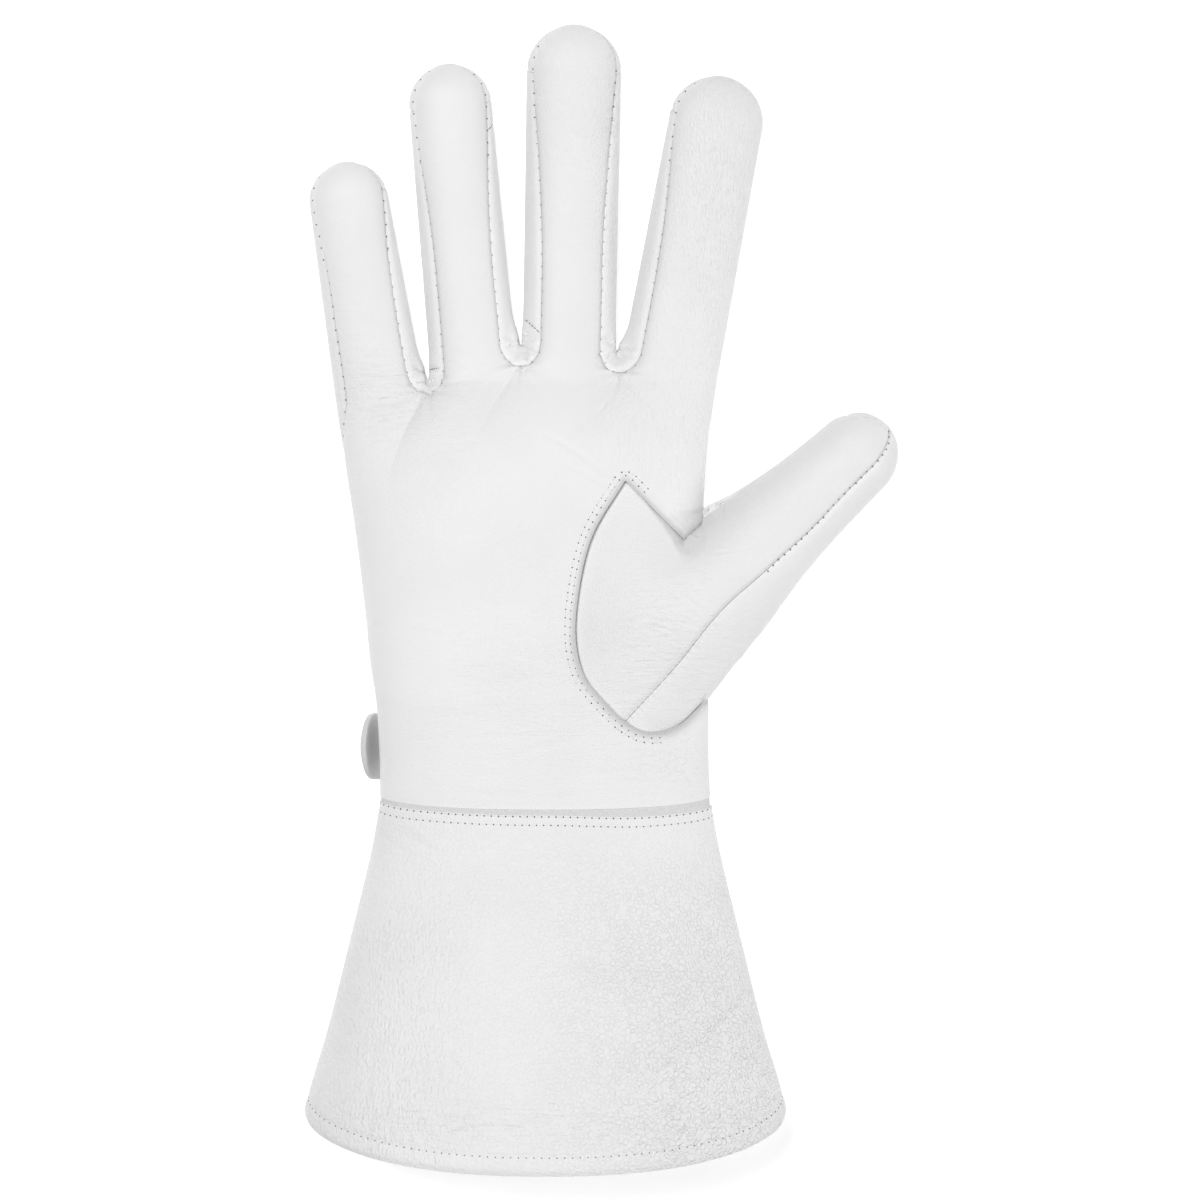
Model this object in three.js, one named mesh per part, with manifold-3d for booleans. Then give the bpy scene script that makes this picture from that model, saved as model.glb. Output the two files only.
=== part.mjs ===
// White leather parade glove for the right hand, with a flared gauntlet cuff.
// It lies on its back with the palm up, filled out as when it has just been taken off.
// Millimetres. +X points to the thumb, +Y to the fingertips and +Z up out of the palm.
// While it is built, y = 0 is the wrist seam. At the end the glove is moved so that
// its bounding box stands centred on the origin.

import * as THREE from 'three';
import Module from 'manifold-3d';
import { mergeVertices } from 'three/addons/utils/BufferGeometryUtils.js';

const { clamp, degToRad, lerp } = THREE.MathUtils;

// Leather and sewing
const handLeather = 1.3;
const cuffLeather = 1.6;
const seamGap = 0.3;
const seamStripWidth = 2.6;
const hemWidth = 5;
const hemFold = 1.1;

// Hand, measured flat on the table
const wristWidth = 98.6;
const handDepth = 32;
const handLean = -5.8;
const handSquareness = 2.3;
const floorSoftness = 2.5;
const knuckleFade = 34;

// Wrist seam and cuff
const wristSeamRise = 2.9;
const wristSeamDip = 4;
const cuffLength = 109.6;
const cuffSideLength = 92;
const cuffHemWidth = 146;
const cuffHemDepth = 54;
const hemCurl = 1.15;

// Fingers
const fingerSquareness = 2.15;
const fingertipRise = 5;
const webRadius = 7;
const fourchetteEnd = 0.86;

// Each finger: its span of the knuckles, its width near the root and near the tip, its
// depth, its length from the root to the tip, and its lean away from the thumb in degrees.
// outerSeam and innerSeam are how far round from the side the palm seam lies, in degrees,
// on the side of the little finger and on the side of the thumb.
const fingers = [
  { name: 'index', span: 31.2, rootWidth: 29.4, tipWidth: 28.3, depth: 19.5, length: 91.6,
    lean: -10.6, outerSeam: 50, innerSeam: 44 },
  { name: 'middle', span: 28.6, rootWidth: 27.8, tipWidth: 28.4, depth: 19.5, length: 103.1,
    lean: -1, outerSeam: 52, innerSeam: 46 },
  { name: 'ring', span: 28, rootWidth: 26.2, tipWidth: 24.8, depth: 18.5, length: 94.6,
    lean: 5.1, outerSeam: 46, innerSeam: 48 },
  { name: 'little', span: 28.7, rootWidth: 27, tipWidth: 23.8, depth: 17.5, length: 71.3,
    lean: 9.1, outerSeam: 38, innerSeam: 46 },
];

// The gap at the root between two neighbouring fingers, from the thumb outwards: level is
// the distance from the wrist seam to the palm seam in the gap, and web is how much
// further the fourchettes reach at half height. The two ends are the open sides.
const thumbSideLevel = 127;
const gaps = [
  { level: 130.3, web: 6.2 },
  { level: 132.1, web: 6 },
  { level: 124.4, web: 3.4 },
];
const littleSideLevel = 121;

// Where the seams of a finger run: angle is a share of its innerSeam or outerSeam, and
// along is a share of its length.
const fingerSeams = [
  { along: 0, angle: 1 },
  { along: 0.35, angle: 0.98 },
  { along: 0.6, angle: 0.82 },
  { along: 0.8, angle: 0.56 },
  { along: 1, angle: 0.34 },
];

// Sections of the hand from the wrist seam to the knuckles. along is a share of the
// knuckles' level, spread goes from the wrist's width (0) to the knuckles' width (1),
// shift is a share of handLean, depth is a share of handDepth, and press is the share of
// the depth by which the back sinks into the table.
const handSections = [
  { along: 0, spread: 0.03, shift: 0, depth: 0.92, press: 0 },
  { along: 0.1, spread: 0, shift: 0.06, depth: 0.94, press: 0 },
  { along: 0.24, spread: 0.05, shift: 0.16, depth: 0.97, press: 0 },
  { along: 0.34, spread: 0.14, shift: 0.36, depth: 1, press: 0.07 },
  { along: 0.46, spread: 0.21, shift: 0.52, depth: 1, press: 0.09 },
  { along: 0.67, spread: 0.35, shift: 0.88, depth: 0.96, press: 0.09 },
  { along: 0.86, spread: 0.66, shift: 1.06, depth: 0.86, press: 0.06 },
  { along: 1, spread: 1, shift: 1, depth: 0.72, press: 0.02 },
];

// Sections of the cuff from the wrist seam to the hem. along is a share of cuffLength,
// flare goes from the wrist's width (0) to the hem's width (1), and rise does so for
// the depth. press is as above.
const cuffSections = [
  { along: 0, flare: 0.02, rise: 0, press: 0 },
  { along: 0.12, flare: 0.12, rise: 0.08, press: 0.01 },
  { along: 0.35, flare: 0.375, rise: 0.36, press: 0.04 },
  { along: 0.6, flare: 0.66, rise: 0.68, press: 0.06 },
  { along: 0.82, flare: 0.945, rise: 0.93, press: 0.07 },
  { along: 1, flare: 1.02, rise: 1, press: 0.07 },
];

// Seam lines round the hand and cuff at the wrist, in degrees from the thumb side.
const wristSeamTurns = { thumbTop: 30, littleTop: 206, littleBottom: 228, thumbBottom: -36 };
// How fast the little finger's seam sinks round the side of the hand, from the
// knuckles (along 1) to the wrist.
const sideSeamSink = [
  { along: 0, sunk: 1 },
  { along: 0.6, sunk: 0.92 },
  { along: 0.8, sunk: 0.6 },
  { along: 1, sunk: 0 },
];

// Thumb. Its axis runs in plan from behind the base seam to the tip.
const thumbLength = 118.5;
const thumbTip = { x: 103.4, y: 113.1 };
const thumbHeading = 41.2;
const thumbBaseWidth = 54;
const thumbDepth = 30;
const thumbHeight = 22;
const thumbTipRound = 13;
const thumbHoleFloor = 8.5;
const thumbHoleDepth = 80;
const thumbFrontSeam = 60;
const thumbBackSeam = 210;

// Sections of the thumb from behind the base seam to the tip: across is a share of
// thumbBaseWidth, offset moves the middle of the section to the little finger's side by
// a share of it, height is a share of thumbHeight and depth a share of thumbDepth. seam
// is how far round the long seam on the palm's side lies, as a share of thumbFrontSeam.
const thumbSections = [
  { along: 0, across: 1.04, offset: -0.02, height: 0.9, depth: 0.8, seam: 1 },
  { along: 0.2, across: 0.9, offset: -0.05, height: 0.98, depth: 0.94, seam: 1.12 },
  { along: 0.4, across: 0.69, offset: -0.055, height: 1, depth: 1, seam: 1.25 },
  { along: 0.57, across: 0.575, offset: -0.02, height: 0.95, depth: 0.93, seam: 1.07 },
  { along: 0.7, across: 0.525, offset: 0, height: 0.9, depth: 0.85, seam: 0.97 },
  { along: 0.85, across: 0.48, offset: 0.01, height: 0.88, depth: 0.76, seam: 1 },
  { along: 1, across: 0.45, offset: 0.02, height: 0.88, depth: 0.74, seam: 1.03 },
];

// The thumb's base seam in the palm. turn is the angle round the thumb in degrees, back
// is the distance behind the tip as a share of thumbLength, and across is the distance
// from the axis towards the thumb's outer side, as a share of thumbBaseWidth. The notch
// between the last three rows takes the pointed tongue of the palm.
const thumbBaseSeam = [
  { turn: 0, back: 0.786, across: 0.45 },
  { turn: 18, back: 0.88, across: 0.468 },
  { turn: 38, back: 0.958, across: 0.402 },
  { turn: 60, back: 0.993, across: 0.254 },
  { turn: 80, back: 1, across: -0.005 },
  { turn: 98, back: 0.965, across: -0.223 },
  { turn: 114, back: 0.878, across: -0.432 },
  { turn: 128, back: 0.749, across: -0.636 },
  { turn: 142, back: 0.593, across: -0.749 },
  { turn: 162, back: 0.58, across: -0.289 },
  { turn: 180, back: 0.474, across: -0.292 },
];
const thumbUnderTurns = [195, 210, 235, 270, 305, 335, 360];

// Strap across the back of the wrist, with its free end at the little finger's side
const strapWidth = 20;
const strapThickness = 2.2;
const strapCentre = 17.6;
const strapEndRadius = 9.6;
const strapEndHeight = 17.5;
const strapStandOff = 4.2;
const strapSewnEnd = 36;
const strapMargin = 1.5;
const strapFade = 30;
const snapRadius = 6;
const snapHeight = 0.8;
const snapInset = 22;

// Columns and rows of the meshes
const topColumns = 6;
const sideColumns = 4;
const palmRows = 9;
const cuffRows = 8;
const fingerRowShares = [0, 0.03, 0.08, 0.22, 0.42, 0.62, 0.82, 1];
const fingertipTurns = [28, 54, 75, 90];
const thumbRowShares = [0, 0.05, 0.13, 0.24, 0.36, 0.5, 0.64, 0.77, 0.88, 0.95, 0.99, 1];
const strapRows = 14;
const strapColumns = 6;

const strapStack = snapHeight + strapThickness + 2 * seamGap;
const knuckleWidth = fingers.reduce((sum, finger) => sum + finger.span, 0);
const knuckleLevel = thumbSideLevel;

// The value of a table's column at a place along it, on a smooth curve through its rows
// that stays level between two equal rows.
function readTable(table, column, along, key = 'along') {
  const last = table.length - 1;
  const t = clamp(along, table[0][key], table[last][key]);
  let i = 0;
  while (i < last - 1 && t > table[i + 1][key]) i += 1;
  const slope = (a, b) => (table[b][column] - table[a][column]) / (table[b][key] - table[a][key]);
  const slopeAt = (j) => {
    const before = slope(Math.max(j - 1, 0), Math.max(j, 1));
    const after = slope(Math.min(j, last - 1), Math.min(j + 1, last));
    return before * after > 0 ? slope(Math.max(j - 1, 0), Math.min(j + 1, last)) : 0;
  };
  const step = table[i + 1][key] - table[i][key];
  const u = (t - table[i][key]) / step;
  return (
    (1 + 2 * u) * (1 - u) ** 2 * table[i][column] +
    u * (1 - u) ** 2 * step * slopeAt(i) +
    u * u * (3 - 2 * u) * table[i + 1][column] +
    u * u * (u - 1) * step * slopeAt(i + 1)
  );
}

// Across and up from the middle of a rounded section, as shares of its half sizes.
function roundedSection(turn, squareness) {
  const round = (value) => Math.sign(value) * Math.abs(value) ** (2 / squareness);
  return { across: round(Math.cos(degToRad(turn))), up: round(Math.sin(degToRad(turn))) };
}

// The turn of a rounded section at a share across it, on its upper side.
function turnAcross(share, squareness) {
  const cosine = Math.sign(share) * Math.abs(clamp(share, -1, 1)) ** (squareness / 2);
  return THREE.MathUtils.radToDeg(Math.acos(cosine));
}

// Height after the leather has flattened on the table at z = 0.
function flattened(z) {
  if (z <= -floorSoftness) return 0;
  if (z >= floorSoftness) return z;
  return (z + floorSoftness) ** 2 / (4 * floorSoftness);
}

// How much of the strap's thickness lifts the wrist off the table at a place along it.
function strapLift(y) {
  const beyond = Math.abs(y - strapCentre) - strapWidth / 2 - strapMargin;
  return strapStack * (1 - THREE.MathUtils.smoothstep(beyond, 0, strapFade));
}

// The hand's and the cuff's section at a distance from the wrist seam.
function bodySection(y) {
  const inHand = y >= 0;
  const table = inHand ? handSections : cuffSections;
  const along = inHand ? y / knuckleLevel : -y / cuffLength;
  const read = (column) => readTable(table, column, along);
  const wristDepth = handSections[0].depth * handDepth;
  const width = inHand
    ? lerp(wristWidth, knuckleWidth, read('spread'))
    : lerp(wristWidth, cuffHemWidth, read('flare'));
  const depth = inHand ? handDepth * read('depth') : lerp(wristDepth, cuffHemDepth, read('rise'));
  return {
    centre: inHand ? handLean * read('shift') : 0,
    halfWidth: width / 2,
    halfDepth: depth / 2,
    middle: depth * (0.5 - read('press')) + strapLift(y),
  };
}

function bodyPoint(turn, y) {
  const section = bodySection(y);
  const place = roundedSection(turn, handSquareness);
  return new THREE.Vector3(
    section.centre + section.halfWidth * place.across,
    y,
    flattened(section.middle + section.halfDepth * place.up),
  );
}

// Lines round the wrist: the hand's lower edge and the cuff's hem dip towards the middle.
const wristEdge = (turn) => wristSeamRise - wristSeamDip * Math.abs(Math.sin(degToRad(turn)));
const hemEdge = (turn) =>
  -lerp(cuffSideLength, cuffLength, Math.abs(Math.sin(degToRad(turn))) ** hemCurl);

// Roots: the fingers stand side by side across the knuckles, from the thumb outwards.
let rootEdge = handLean + knuckleWidth / 2;
fingers.forEach((finger, i) => {
  const innerLevel = i === 0 ? thumbSideLevel : gaps[i - 1].level;
  const outerLevel = i === fingers.length - 1 ? littleSideLevel : gaps[i].level;
  finger.innerX = rootEdge;
  finger.outerX = rootEdge - finger.span;
  finger.root = new THREE.Vector2(rootEdge - finger.span / 2, (innerLevel + outerLevel) / 2);
  finger.direction = new THREE.Vector2(-Math.sin(degToRad(finger.lean)), Math.cos(degToRad(finger.lean)));
  finger.across = new THREE.Vector2(finger.direction.y, -finger.direction.x);
  finger.tipRadius = finger.tipWidth / 2;
  finger.innerGap = gaps[i - 1] ? { ...gaps[i - 1], x: rootEdge } : null;
  finger.outerGap = gaps[i] ? { ...gaps[i], x: rootEdge - finger.span } : null;
  rootEdge -= finger.span;
});

// The gap at one side of a finger also has the height of its neighbours' middles.
const rootMiddle = (finger) => finger.depth / 2;
fingers.forEach((finger, i) => {
  const neighbour = fingers[i + 1];
  if (!neighbour) return;
  const middle = (rootMiddle(finger) + rootMiddle(neighbour)) / 2;
  const seamUp = (one, angle) => (one.depth / 2) * roundedSection(angle, fingerSquareness).up;
  const halfHeight = (seamUp(finger, finger.outerSeam) + seamUp(neighbour, neighbour.innerSeam)) / 2;
  Object.assign(finger.outerGap, { middle, halfHeight });
  Object.assign(neighbour.innerGap, { middle, halfHeight });
});

// The finger as a plain tube: a point at a turn round it and a distance from its root.
function fingerTube(finger, turn, s) {
  const straight = finger.length - finger.tipRadius;
  const width = lerp(finger.rootWidth, finger.tipWidth, clamp(s / straight, 0, 1));
  const tip = s > straight ? Math.sqrt(Math.max(0, 1 - ((s - straight) / finger.tipRadius) ** 2)) : 1;
  const place = roundedSection(turn, fingerSquareness);
  const out = (width / 2) * tip * place.across;
  const rise = fingertipRise * clamp(s / finger.length, 0, 1) ** 2;
  const plan = finger.root.clone()
    .addScaledVector(finger.direction, s)
    .addScaledVector(finger.across, out);
  const z = flattened(rootMiddle(finger) + rise + (finger.depth / 2) * tip * place.up);
  return new THREE.Vector3(plan.x, plan.y, z);
}

// The four corners of a finger's section, where its seams run.
function fingerCorners(finger, s) {
  const share = readTable(fingerSeams, 'angle', clamp(s / finger.length, 0, 1));
  const inner = finger.innerSeam * share;
  const outer = finger.outerSeam * share;
  return [inner, 180 - outer, 180 + outer, 360 - inner, 360 + inner];
}

const sides = ['palm', 'outer', 'back', 'inner'];
const columnsOf = { palm: topColumns, outer: sideColumns, back: topColumns, inner: sideColumns };
const turnOn = (corners, side, q) => lerp(corners[sides.indexOf(side)], corners[sides.indexOf(side) + 1], q);

// A point of the finger's root, where it grows out of the hand.
function fingerRoot(finger, side, q) {
  const corners = fingerCorners(finger, 0);
  const turn = turnOn(corners, side, q);
  const gap = side === 'inner' ? finger.innerGap : finger.outerGap;
  if (side === 'inner' || side === 'outer') {
    if (!gap) return fingerTube(finger, turn, 0);
    const seam = side === 'inner' ? finger.innerSeam : finger.outerSeam;
    const from = side === 'inner' ? turn - 360 : 180 - turn;
    const bulge = (Math.cos(degToRad(from)) - Math.cos(degToRad(seam))) / (1 - Math.cos(degToRad(seam)));
    const up = Math.sin(degToRad(from)) / Math.sin(degToRad(seam));
    return new THREE.Vector3(gap.x, gap.level + gap.web * bulge, flattened(gap.middle + gap.halfHeight * up));
  }
  const sign = side === 'palm' ? 1 : -1;
  const edge = (which, at) => {
    const found = which === 'inner' ? finger.innerGap : finger.outerGap;
    if (!found) return fingerTube(finger, at, 0);
    return new THREE.Vector3(found.x, found.level, found.middle + sign * found.halfHeight);
  };
  const [first, second] = side === 'palm' ? ['inner', 'outer'] : ['outer', 'inner'];
  const start = corners[sides.indexOf(side)];
  const end = corners[sides.indexOf(side) + 1];
  const place = (at) => roundedSection(at, fingerSquareness);
  const share = (place(turn).across - place(start).across) / (place(end).across - place(start).across);
  const point = edge(first, start).lerp(edge(second, end), share);
  const chord = lerp(place(start).up, place(end).up, share);
  point.z = flattened(point.z + (finger.depth / 2) * (place(turn).up - chord));
  return point;
}

// A point of the finger: the tube, drawn to the root over the web's radius.
function fingerPoint(finger, side, q, s) {
  const root = fingerRoot(finger, side, q);
  const start = new THREE.Vector2(root.x, root.y).sub(finger.root).dot(finger.direction);
  const along = s + start * (1 - s / finger.length);
  const tube = fingerTube(finger, turnOn(fingerCorners(finger, s), side, q), along);
  const from = fingerTube(finger, turnOn(fingerCorners(finger, 0), side, q), start);
  const near = clamp((along - start) / webRadius, 0, 1);
  const pull = 1 - Math.sqrt(1 - (1 - near) ** 2);
  return tube.addScaledVector(root.sub(from), pull);
}

function fingerRows(finger) {
  const straight = finger.length - finger.tipRadius;
  const tip = fingertipTurns.map((turn) => straight + finger.tipRadius * Math.sin(degToRad(turn)));
  return [...fingerRowShares.map((share) => share * straight), ...tip];
}

// The hand's columns run round it as the fingers' columns do: over the palm from the
// thumb's side, round the little finger's side, back under the hand and up again.
const littleFinger = fingers[fingers.length - 1];
const handColumns = [];
const addColumns = (finger, side) => {
  for (let c = 0; c < columnsOf[side]; c += 1) {
    handColumns.push({ finger, side, q: c / columnsOf[side] });
  }
};
fingers.forEach((finger) => addColumns(finger, 'palm'));
addColumns(littleFinger, 'outer');
[...fingers].reverse().forEach((finger) => addColumns(finger, 'back'));
addColumns(fingers[0], 'inner');

// Turns of the hand's four corners at the knuckles and at the wrist.
const rootShare = (point) => {
  const section = bodySection(point.y);
  return clamp((point.x - section.centre) / section.halfWidth, -1, 1);
};
const knuckleTurn = (finger, side, q) => {
  const turn = turnAcross(rootShare(fingerRoot(finger, side, q)), handSquareness);
  return side === 'back' ? 360 - turn : turn;
};
const knuckleCorners = [
  knuckleTurn(fingers[0], 'palm', 0),
  knuckleTurn(littleFinger, 'palm', 1),
  knuckleTurn(littleFinger, 'back', 0),
  knuckleTurn(fingers[0], 'back', 1),
];
const wristCorners = [
  wristSeamTurns.thumbTop,
  wristSeamTurns.littleTop,
  wristSeamTurns.littleBottom,
  360 + wristSeamTurns.thumbBottom,
];

// The turn of one of the hand's columns, from the wrist (v = 0) to the knuckles (v = 1).
function handTurn(column, v) {
  const sunk = readTable(sideSeamSink, 'sunk', v);
  const corners = knuckleCorners.map((turn, i) =>
    i === 1 ? lerp(turn, wristCorners[i], sunk) : lerp(wristCorners[i], turn, v));
  corners.push(corners[0] + 360);
  const side = sides.indexOf(column.side);
  const knuckles = [...knuckleCorners, knuckleCorners[0] + 360];
  const wide = side % 2 === 0;
  const share = wide
    ? (knuckleTurn(column.finger, column.side, column.q) - knuckles[side]) / (knuckles[side + 1] - knuckles[side])
    : column.q;
  return lerp(corners[side], corners[side + 1], share);
}

function handPoint(column, v) {
  const root = fingerRoot(column.finger, column.side, column.q);
  const turn = handTurn(column, v);
  const y = lerp(wristEdge(turn), root.y, v);
  const missing = root.clone().sub(bodyPoint(handTurn(column, 1), root.y));
  const near = clamp(1 - ((1 - v) * root.y) / knuckleFade, 0, 1);
  return bodyPoint(turn, y).addScaledVector(missing, near * near);
}

// A skin is a welded surface of faces, each of which belongs to a panel of leather.
const weld = 1e-4;
class Skin {
  points = [];
  faces = [];
  places = new Map();

  vertex(point) {
    const key = point.toArray().map((n) => Math.round(n / weld)).join();
    if (!this.places.has(key)) {
      this.places.set(key, this.points.length);
      this.points.push(point);
    }
    return this.places.get(key);
  }

  // Adds a grid of faces. pointAt(c, r) gives a vertex and panelOf(c, r) a face's panel.
  // Columns run anticlockwise seen from row 0, so the faces point out.
  patch(columns, rows, pointAt, panelOf) {
    const ids = [];
    for (let c = 0; c <= columns; c += 1) {
      ids.push(Array.from({ length: rows + 1 }, (_, r) => this.vertex(pointAt(c, r))));
    }
    for (let c = 0; c < columns; c += 1) {
      for (let r = 0; r < rows; r += 1) {
        const corners = [ids[c][r], ids[c][r + 1], ids[c + 1][r + 1], ids[c + 1][r]];
        const distinct = corners.filter((id, i) => id !== corners[(i + 1) % 4]);
        if (distinct.length > 2) this.faces.push({ corners: distinct, panel: panelOf(c, r) });
      }
    }
  }

  triangles(faces) {
    return faces.flatMap(({ corners }) =>
      corners.slice(2).map((id, i) => [corners[0], corners[i + 1], id]));
  }

  normals() {
    const sums = this.points.map(() => new THREE.Vector3());
    this.triangles(this.faces).forEach(([a, b, c]) => {
      const [pa, pb, pc] = [a, b, c].map((id) => this.points[id]);
      const area = pb.clone().sub(pa).cross(pc.clone().sub(pa));
      [a, b, c].forEach((id) => sums[id].add(area));
    });
    return sums.map((sum) => sum.normalize());
  }

  // One panel as a wall: its faces, drawn back from the seams by half a gap, the same
  // faces again on the inside, and a rim between them. wallAt(point) is the thickness.
  panel(name, wallAt) {
    const normals = this.normals();
    const triangles = this.triangles(this.faces.filter((face) => face.panel === name));
    const edges = new Map();
    triangles.forEach(([a, b, c]) => {
      [[a, b], [b, c], [c, a]].forEach((edge) => edges.set(edge.join(), edge));
    });
    const rim = [...edges.values()].filter(([a, b]) => !edges.has([b, a].join()));
    const inward = new Map();
    rim.forEach(([a, b]) => {
      const edge = this.points[b].clone().sub(this.points[a]).normalize();
      [a, b].forEach((id) => {
        if (!inward.has(id)) inward.set(id, new THREE.Vector3());
        inward.get(id).add(normals[id].clone().cross(edge));
      });
    });
    const used = [...new Set(triangles.flat())];
    const order = new Map(used.map((id, i) => [id, i]));
    const outside = used.map((id) => {
      const point = this.points[id].clone();
      if (!inward.has(id)) return point;
      const pull = inward.get(id);
      const corner = Math.max(pull.length() / 2, 0.5);
      return point.addScaledVector(pull.clone().normalize(), seamGap / 2 / corner);
    });
    const inside = used.map((id, i) =>
      outside[i].clone().addScaledVector(normals[id], -wallAt(this.points[id])));
    const count = used.length;
    const index = triangles.flatMap((triangle) => {
      const [a, b, c] = triangle.map((id) => order.get(id));
      return [a, b, c, count + a, count + c, count + b];
    });
    rim.forEach(([idA, idB]) => {
      const [a, b] = [order.get(idA), order.get(idB)];
      index.push(b, a, count + a, b, count + a, count + b);
    });
    const geometry = new THREE.BufferGeometry().setFromPoints([...outside, ...inside]);
    geometry.setIndex(index);
    return geometry;
  }

  // The whole skin grown outwards by a margin, filled, and closed across its open end.
  filled(margin) {
    const normals = this.normals();
    const grown = this.points.map((point, i) => point.clone().addScaledVector(normals[i], margin));
    const triangles = this.triangles(this.faces);
    const edges = new Set(triangles.flatMap(([a, b, c]) => [[a, b], [b, c], [c, a]].map(String)));
    const open = triangles
      .flatMap(([a, b, c]) => [[a, b], [b, c], [c, a]])
      .filter(([a, b]) => !edges.has(String([b, a])));
    const end = new THREE.Vector3();
    open.forEach(([a]) => end.addScaledVector(grown[a], 1 / open.length));
    const cap = open.map(([a, b]) => [b, a, grown.length]);
    const geometry = new THREE.BufferGeometry().setFromPoints([...grown, end]);
    geometry.setIndex([...triangles, ...cap].flat());
    return geometry;
  }
}

// The hand, the seam strip and the cuff are one skin.
const body = new Skin();
const columnAt = (c) => handColumns[c % handColumns.length];
const inFront = (column) =>
  column.side === 'palm' ||
  (column.side === 'outer' && column.q < 0.5) ||
  (column.side === 'inner' && column.q >= 0.5);

const strapRowShares = [-1, 1].map((side) =>
  (strapCentre + side * (strapWidth / 2 + strapMargin)) / littleSideLevel);
const handRowShares = [0, ...strapRowShares,
  ...Array.from({ length: palmRows }, (_, i) => lerp(strapRowShares[1], 1, (i + 1) / palmRows))];
body.patch(handColumns.length, handRowShares.length - 1,
  (c, r) => handPoint(columnAt(c), handRowShares[r]),
  (c) => (['palm', 'inner'].includes(columnAt(c).side) ? 'palm_panel' : 'back_panel'));

body.patch(handColumns.length, 1,
  (c, r) => {
    const turn = handTurn(columnAt(c), 0);
    return bodyPoint(turn, wristEdge(turn) - seamStripWidth * (1 - r));
  },
  () => 'wrist_seam_strip');

const hemShare = hemWidth / cuffLength;
const cuffRowShares = [0, hemShare, hemShare * 1.5,
  ...Array.from({ length: cuffRows - 2 }, (_, i) => lerp(hemShare * 1.5, 1, (i + 1) / (cuffRows - 2)))];
body.patch(handColumns.length, cuffRows,
  (c, r) => {
    const turn = handTurn(columnAt(c), 0);
    return bodyPoint(turn, lerp(hemEdge(turn), wristEdge(turn) - seamStripWidth, cuffRowShares[r]));
  },
  (c) => (inFront(columnAt(c)) ? 'cuff_front' : 'cuff_back'));

fingers.forEach((finger) => {
  const rows = fingerRows(finger);
  sides.forEach((side) => {
    const columns = columnsOf[side];
    body.patch(columns, rows.length - 1,
      (c, r) => fingerPoint(finger, side, c / columns, rows[r]),
      (c, r) => {
        const fold = side === 'outer' ? !finger.outerGap : !finger.innerGap;
        if (side === 'palm' || (side === 'inner' && fold)) return 'palm_panel';
        if (side === 'back' || (side === 'outer' && fold)) return 'back_panel';
        if (rows[r + 1] > fourchetteEnd * finger.length) return 'back_panel';
        return `fourchette_${finger.name}_${side}`;
      });
  });
});

// Thumb, in its own frame: heading points to the tip and outward to its outer side.
const heading = new THREE.Vector2(Math.cos(degToRad(thumbHeading)), Math.sin(degToRad(thumbHeading)));
const outward = new THREE.Vector2(heading.y, -heading.x);
const tipPlan = new THREE.Vector2(thumbTip.x, thumbTip.y);
const thumbPlan = (back, across) => tipPlan.clone()
  .addScaledVector(heading, -back)
  .addScaledVector(outward, across);

// How near a turn is to the long seam: 1 on it, and 0 at the thumb's outer side and at
// the seam underneath.
function nearFrontSeam(turn) {
  if (turn < thumbFrontSeam) return turn / thumbFrontSeam;
  return clamp((thumbBackSeam - turn) / (thumbBackSeam - thumbFrontSeam), 0, 1);
}

function thumbTube(turn, s) {
  const along = clamp(s / thumbLength, 0, 1);
  const read = (column) => readTable(thumbSections, column, along);
  const straight = thumbLength - thumbTipRound;
  const tip = s > straight ? Math.sqrt(Math.max(0, 1 - ((s - straight) / thumbTipRound) ** 2)) : 1;
  const place = roundedSection(turn + thumbFrontSeam * (read('seam') - 1) * nearFrontSeam(turn % 360), 2);
  const across = thumbBaseWidth * (0.5 * read('across') * tip * place.across - read('offset'));
  const plan = thumbPlan(thumbLength - s, across);
  const z = thumbHeight * read('height') + 0.5 * thumbDepth * read('depth') * tip * place.up;
  return new THREE.Vector3(plan.x, plan.y, z);
}

// The height of the hand's palm side at a place in plan.
function palmHeight(plan) {
  const section = bodySection(plan.y);
  const share = clamp((plan.x - section.centre) / section.halfWidth, -1, 1);
  return bodyPoint(turnAcross(share, handSquareness), plan.y).z;
}

const baseSeamPlan = (row) => thumbPlan(row.back * thumbLength, row.across * thumbBaseWidth);
const seamBottom = baseSeamPlan(thumbBaseSeam[0]);
const seamTop = baseSeamPlan(thumbBaseSeam[thumbBaseSeam.length - 1]);
const holeCentre = seamBottom.clone().add(seamTop).add(baseSeamPlan(thumbBaseSeam[5])).divideScalar(3);

// A point of the thumb's base: on the palm in front, and round the side of the hand below.
function thumbRoot(turn) {
  const row = thumbBaseSeam.find((one) => one.turn === turn);
  if (row) {
    const plan = baseSeamPlan(row);
    const section = bodySection(plan.y);
    plan.x = Math.min(plan.x, section.centre + section.halfWidth);
    const towards = holeCentre.clone().sub(plan).normalize();
    plan.addScaledVector(towards, seamGap);
    return new THREE.Vector3(plan.x, plan.y, palmHeight(plan));
  }
  const share = (turn - 180) / 180;
  const y = lerp(seamTop.y - seamGap, seamBottom.y + seamGap, share);
  const section = bodySection(y);
  const floor = thumbHoleFloor + seamGap;
  const z = lerp(section.middle, floor, Math.sin(Math.PI * share) ** 0.5);
  const down = clamp((section.middle - z) / section.halfDepth, 0, 1);
  const across = (1 - down ** handSquareness) ** (1 / handSquareness);
  return new THREE.Vector3(section.centre + section.halfWidth * across, y, z);
}

const thumbFade = 0.55;
function thumbPoint(turn, share) {
  const root = thumbRoot(turn === 420 ? 60 : turn > 360 ? turn - 360 : turn);
  const start = thumbLength + new THREE.Vector2(root.x, root.y).sub(tipPlan).dot(heading);
  const s = lerp(start, thumbLength, share);
  const missing = root.sub(thumbTube(turn, start));
  const near = clamp(share / thumbFade, 0, 1);
  return thumbTube(turn, s).addScaledVector(missing, (1 - near) ** 2);
}

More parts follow.
